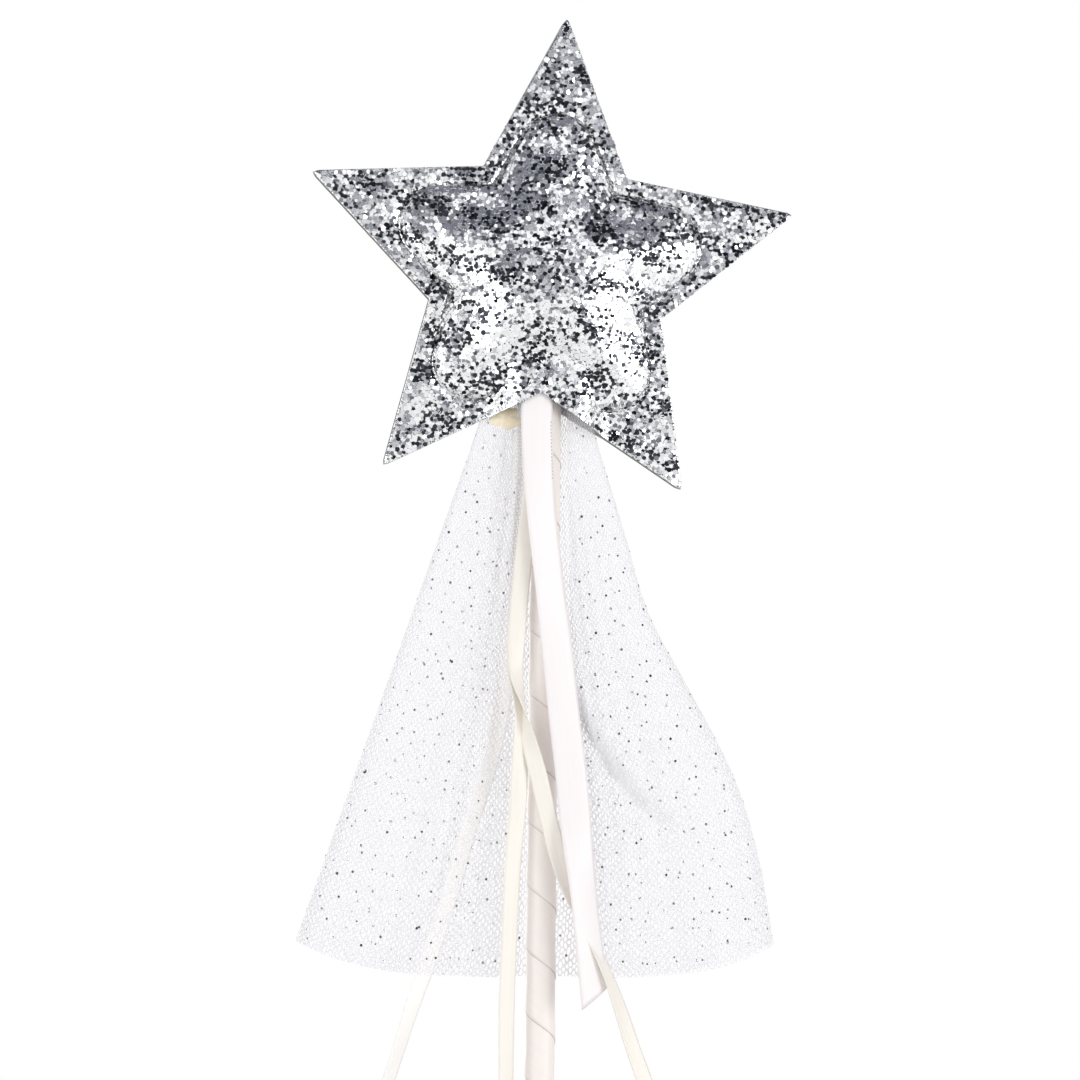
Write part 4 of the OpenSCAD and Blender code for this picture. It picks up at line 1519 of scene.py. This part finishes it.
def whiteForView(tree):
    # 1 for rays that see the white surroundings, 0 for those that light the object
    rays = addNode(tree, "ShaderNodeLightPath").outputs
    seen = calc(tree, "MAXIMUM", rays["Is Camera Ray"], rays["Is Glossy Ray"])
    return calc(tree, "MAXIMUM", seen, rays["Is Transmission Ray"])


def makeWorld(v):
    world = bpy.data.worlds.new("studio")
    world.use_nodes = True
    scene.world = world
    tree = world.node_tree
    strength = ramped(tree, whiteForView(tree), 0.0, 1.0, v["ambient"], 1.0)
    background = tree.nodes["Background"]
    background.inputs["Color"].default_value = (1, 1, 1, 1)
    feed(background, Strength=strength)


def makeFloor(v):
    count, rings = v["floorAround"], v["floorRings"]
    angle = np.linspace(0, math.tau, count, endpoint=False)[None]
    radius = np.linspace(v["floorInner"], 1, rings)[:, None] * v["floorRadius"]
    z = -v["floorDrop"]
    points = np.stack([radius * np.cos(angle), radius * np.sin(angle), z + 0 * radius * angle], axis=-1)
    points = np.concatenate([points.reshape(-1, 3), [(0, 0, z)]])
    faces = gridFaces(rings, count, True) + [(rings * count, j, (j + 1) % count) for j in range(count)]
    floor = addObject("floor", newMesh("floor", points, faces))
    material, tree, shader = newMaterial("paleFloor", v["floorColour"], v["floorRoughness"])
    reach = addNode(tree, "ShaderNodeVectorMath", {"operation": "LENGTH"}, _0=objectPlace(tree))
    fade = ramped(tree, reach.outputs["Value"], *v["floorFade"])
    white = addNode(tree, "ShaderNodeEmission", None, Color=(1, 1, 1, 1), Strength=1.0)
    blend = addNode(tree, "ShaderNodeMixShader", None, _0=calc(tree, "MULTIPLY", fade, whiteForView(tree)),
                    _1=shader.outputs[0], _2=white.outputs[0])
    feed(tree.nodes["Material Output"], Surface=blend.outputs[0])
    floor.data.materials.append(material)


def makeLamp(name, place, size, power, aim):
    data = bpy.data.lights.new(name, "AREA")
    data.shape = "DISK"
    data.size = size
    data.energy = power
    lamp = addObject(name, data)
    lamp.location = place
    lamp.rotation_mode = "QUATERNION"
    lamp.rotation_quaternion = (Vector(aim) - Vector(place)).to_track_quat("-Z", "Y")


def addReflected(name, points, rows, columns, colour):
    # A glowing sheet of the studio that is seen in reflections only, where its fixed colour paints a
    # reflection
    sheet = addObject(name, newMesh(name, points, gridFaces(rows, columns)))
    material = newMaterial(name + "Cloth", (0, 0, 0), 0.9, Emission_Color=(*colour, 1), Emission_Strength=1.0,
                           Specular_IOR_Level=0.0)[0]
    sheet.data.materials.append(material)
    for rays in ("camera", "diffuse", "shadow", "transmission"):
        setattr(sheet, "visible_" + rays, False)


def makeCurtains(v):
    # Glowing grey sheets beyond the camera and overhead, on both sides of the star, and a pale card at the
    # front that glows brighter than white, all painted reflections
    profile = smoothLine(v["curtainProfile"], v["curtainStep"])
    xs = np.linspace(-v["curtainHalfWidth"], v["curtainHalfWidth"], v["curtainColumns"])
    height, waves = v["curtainWave"]
    for name, side in (("frontCurtain", 1), ("backCurtain", -1)):
        points = [(x, side * y, z + height * math.sin(waves * x)) for y, z in profile for x in xs]
        addReflected(name, points, len(profile), len(xs), v["curtainGlow"])
    angle, reach = np.linspace(0, math.tau, v["cardAround"])[None], np.array(v["cardRings"])[:, None]
    card = np.array(v["cardPlace"]) + np.stack([v["cardSize"][0] * reach * np.cos(angle), 0 * reach * angle,
                                                v["cardSize"][1] * reach * np.sin(angle)], axis=-1)
    addReflected("paleCard", card, len(reach), v["cardAround"], v["cardGlow"])


makeWorld(studioValues)
makeFloor(studioValues)
for name, lamp in studioValues["lamps"].items():
    makeLamp(name, *lamp, studioValues["lampAim"])
makeCurtains(studioValues)
print("studio: lit")
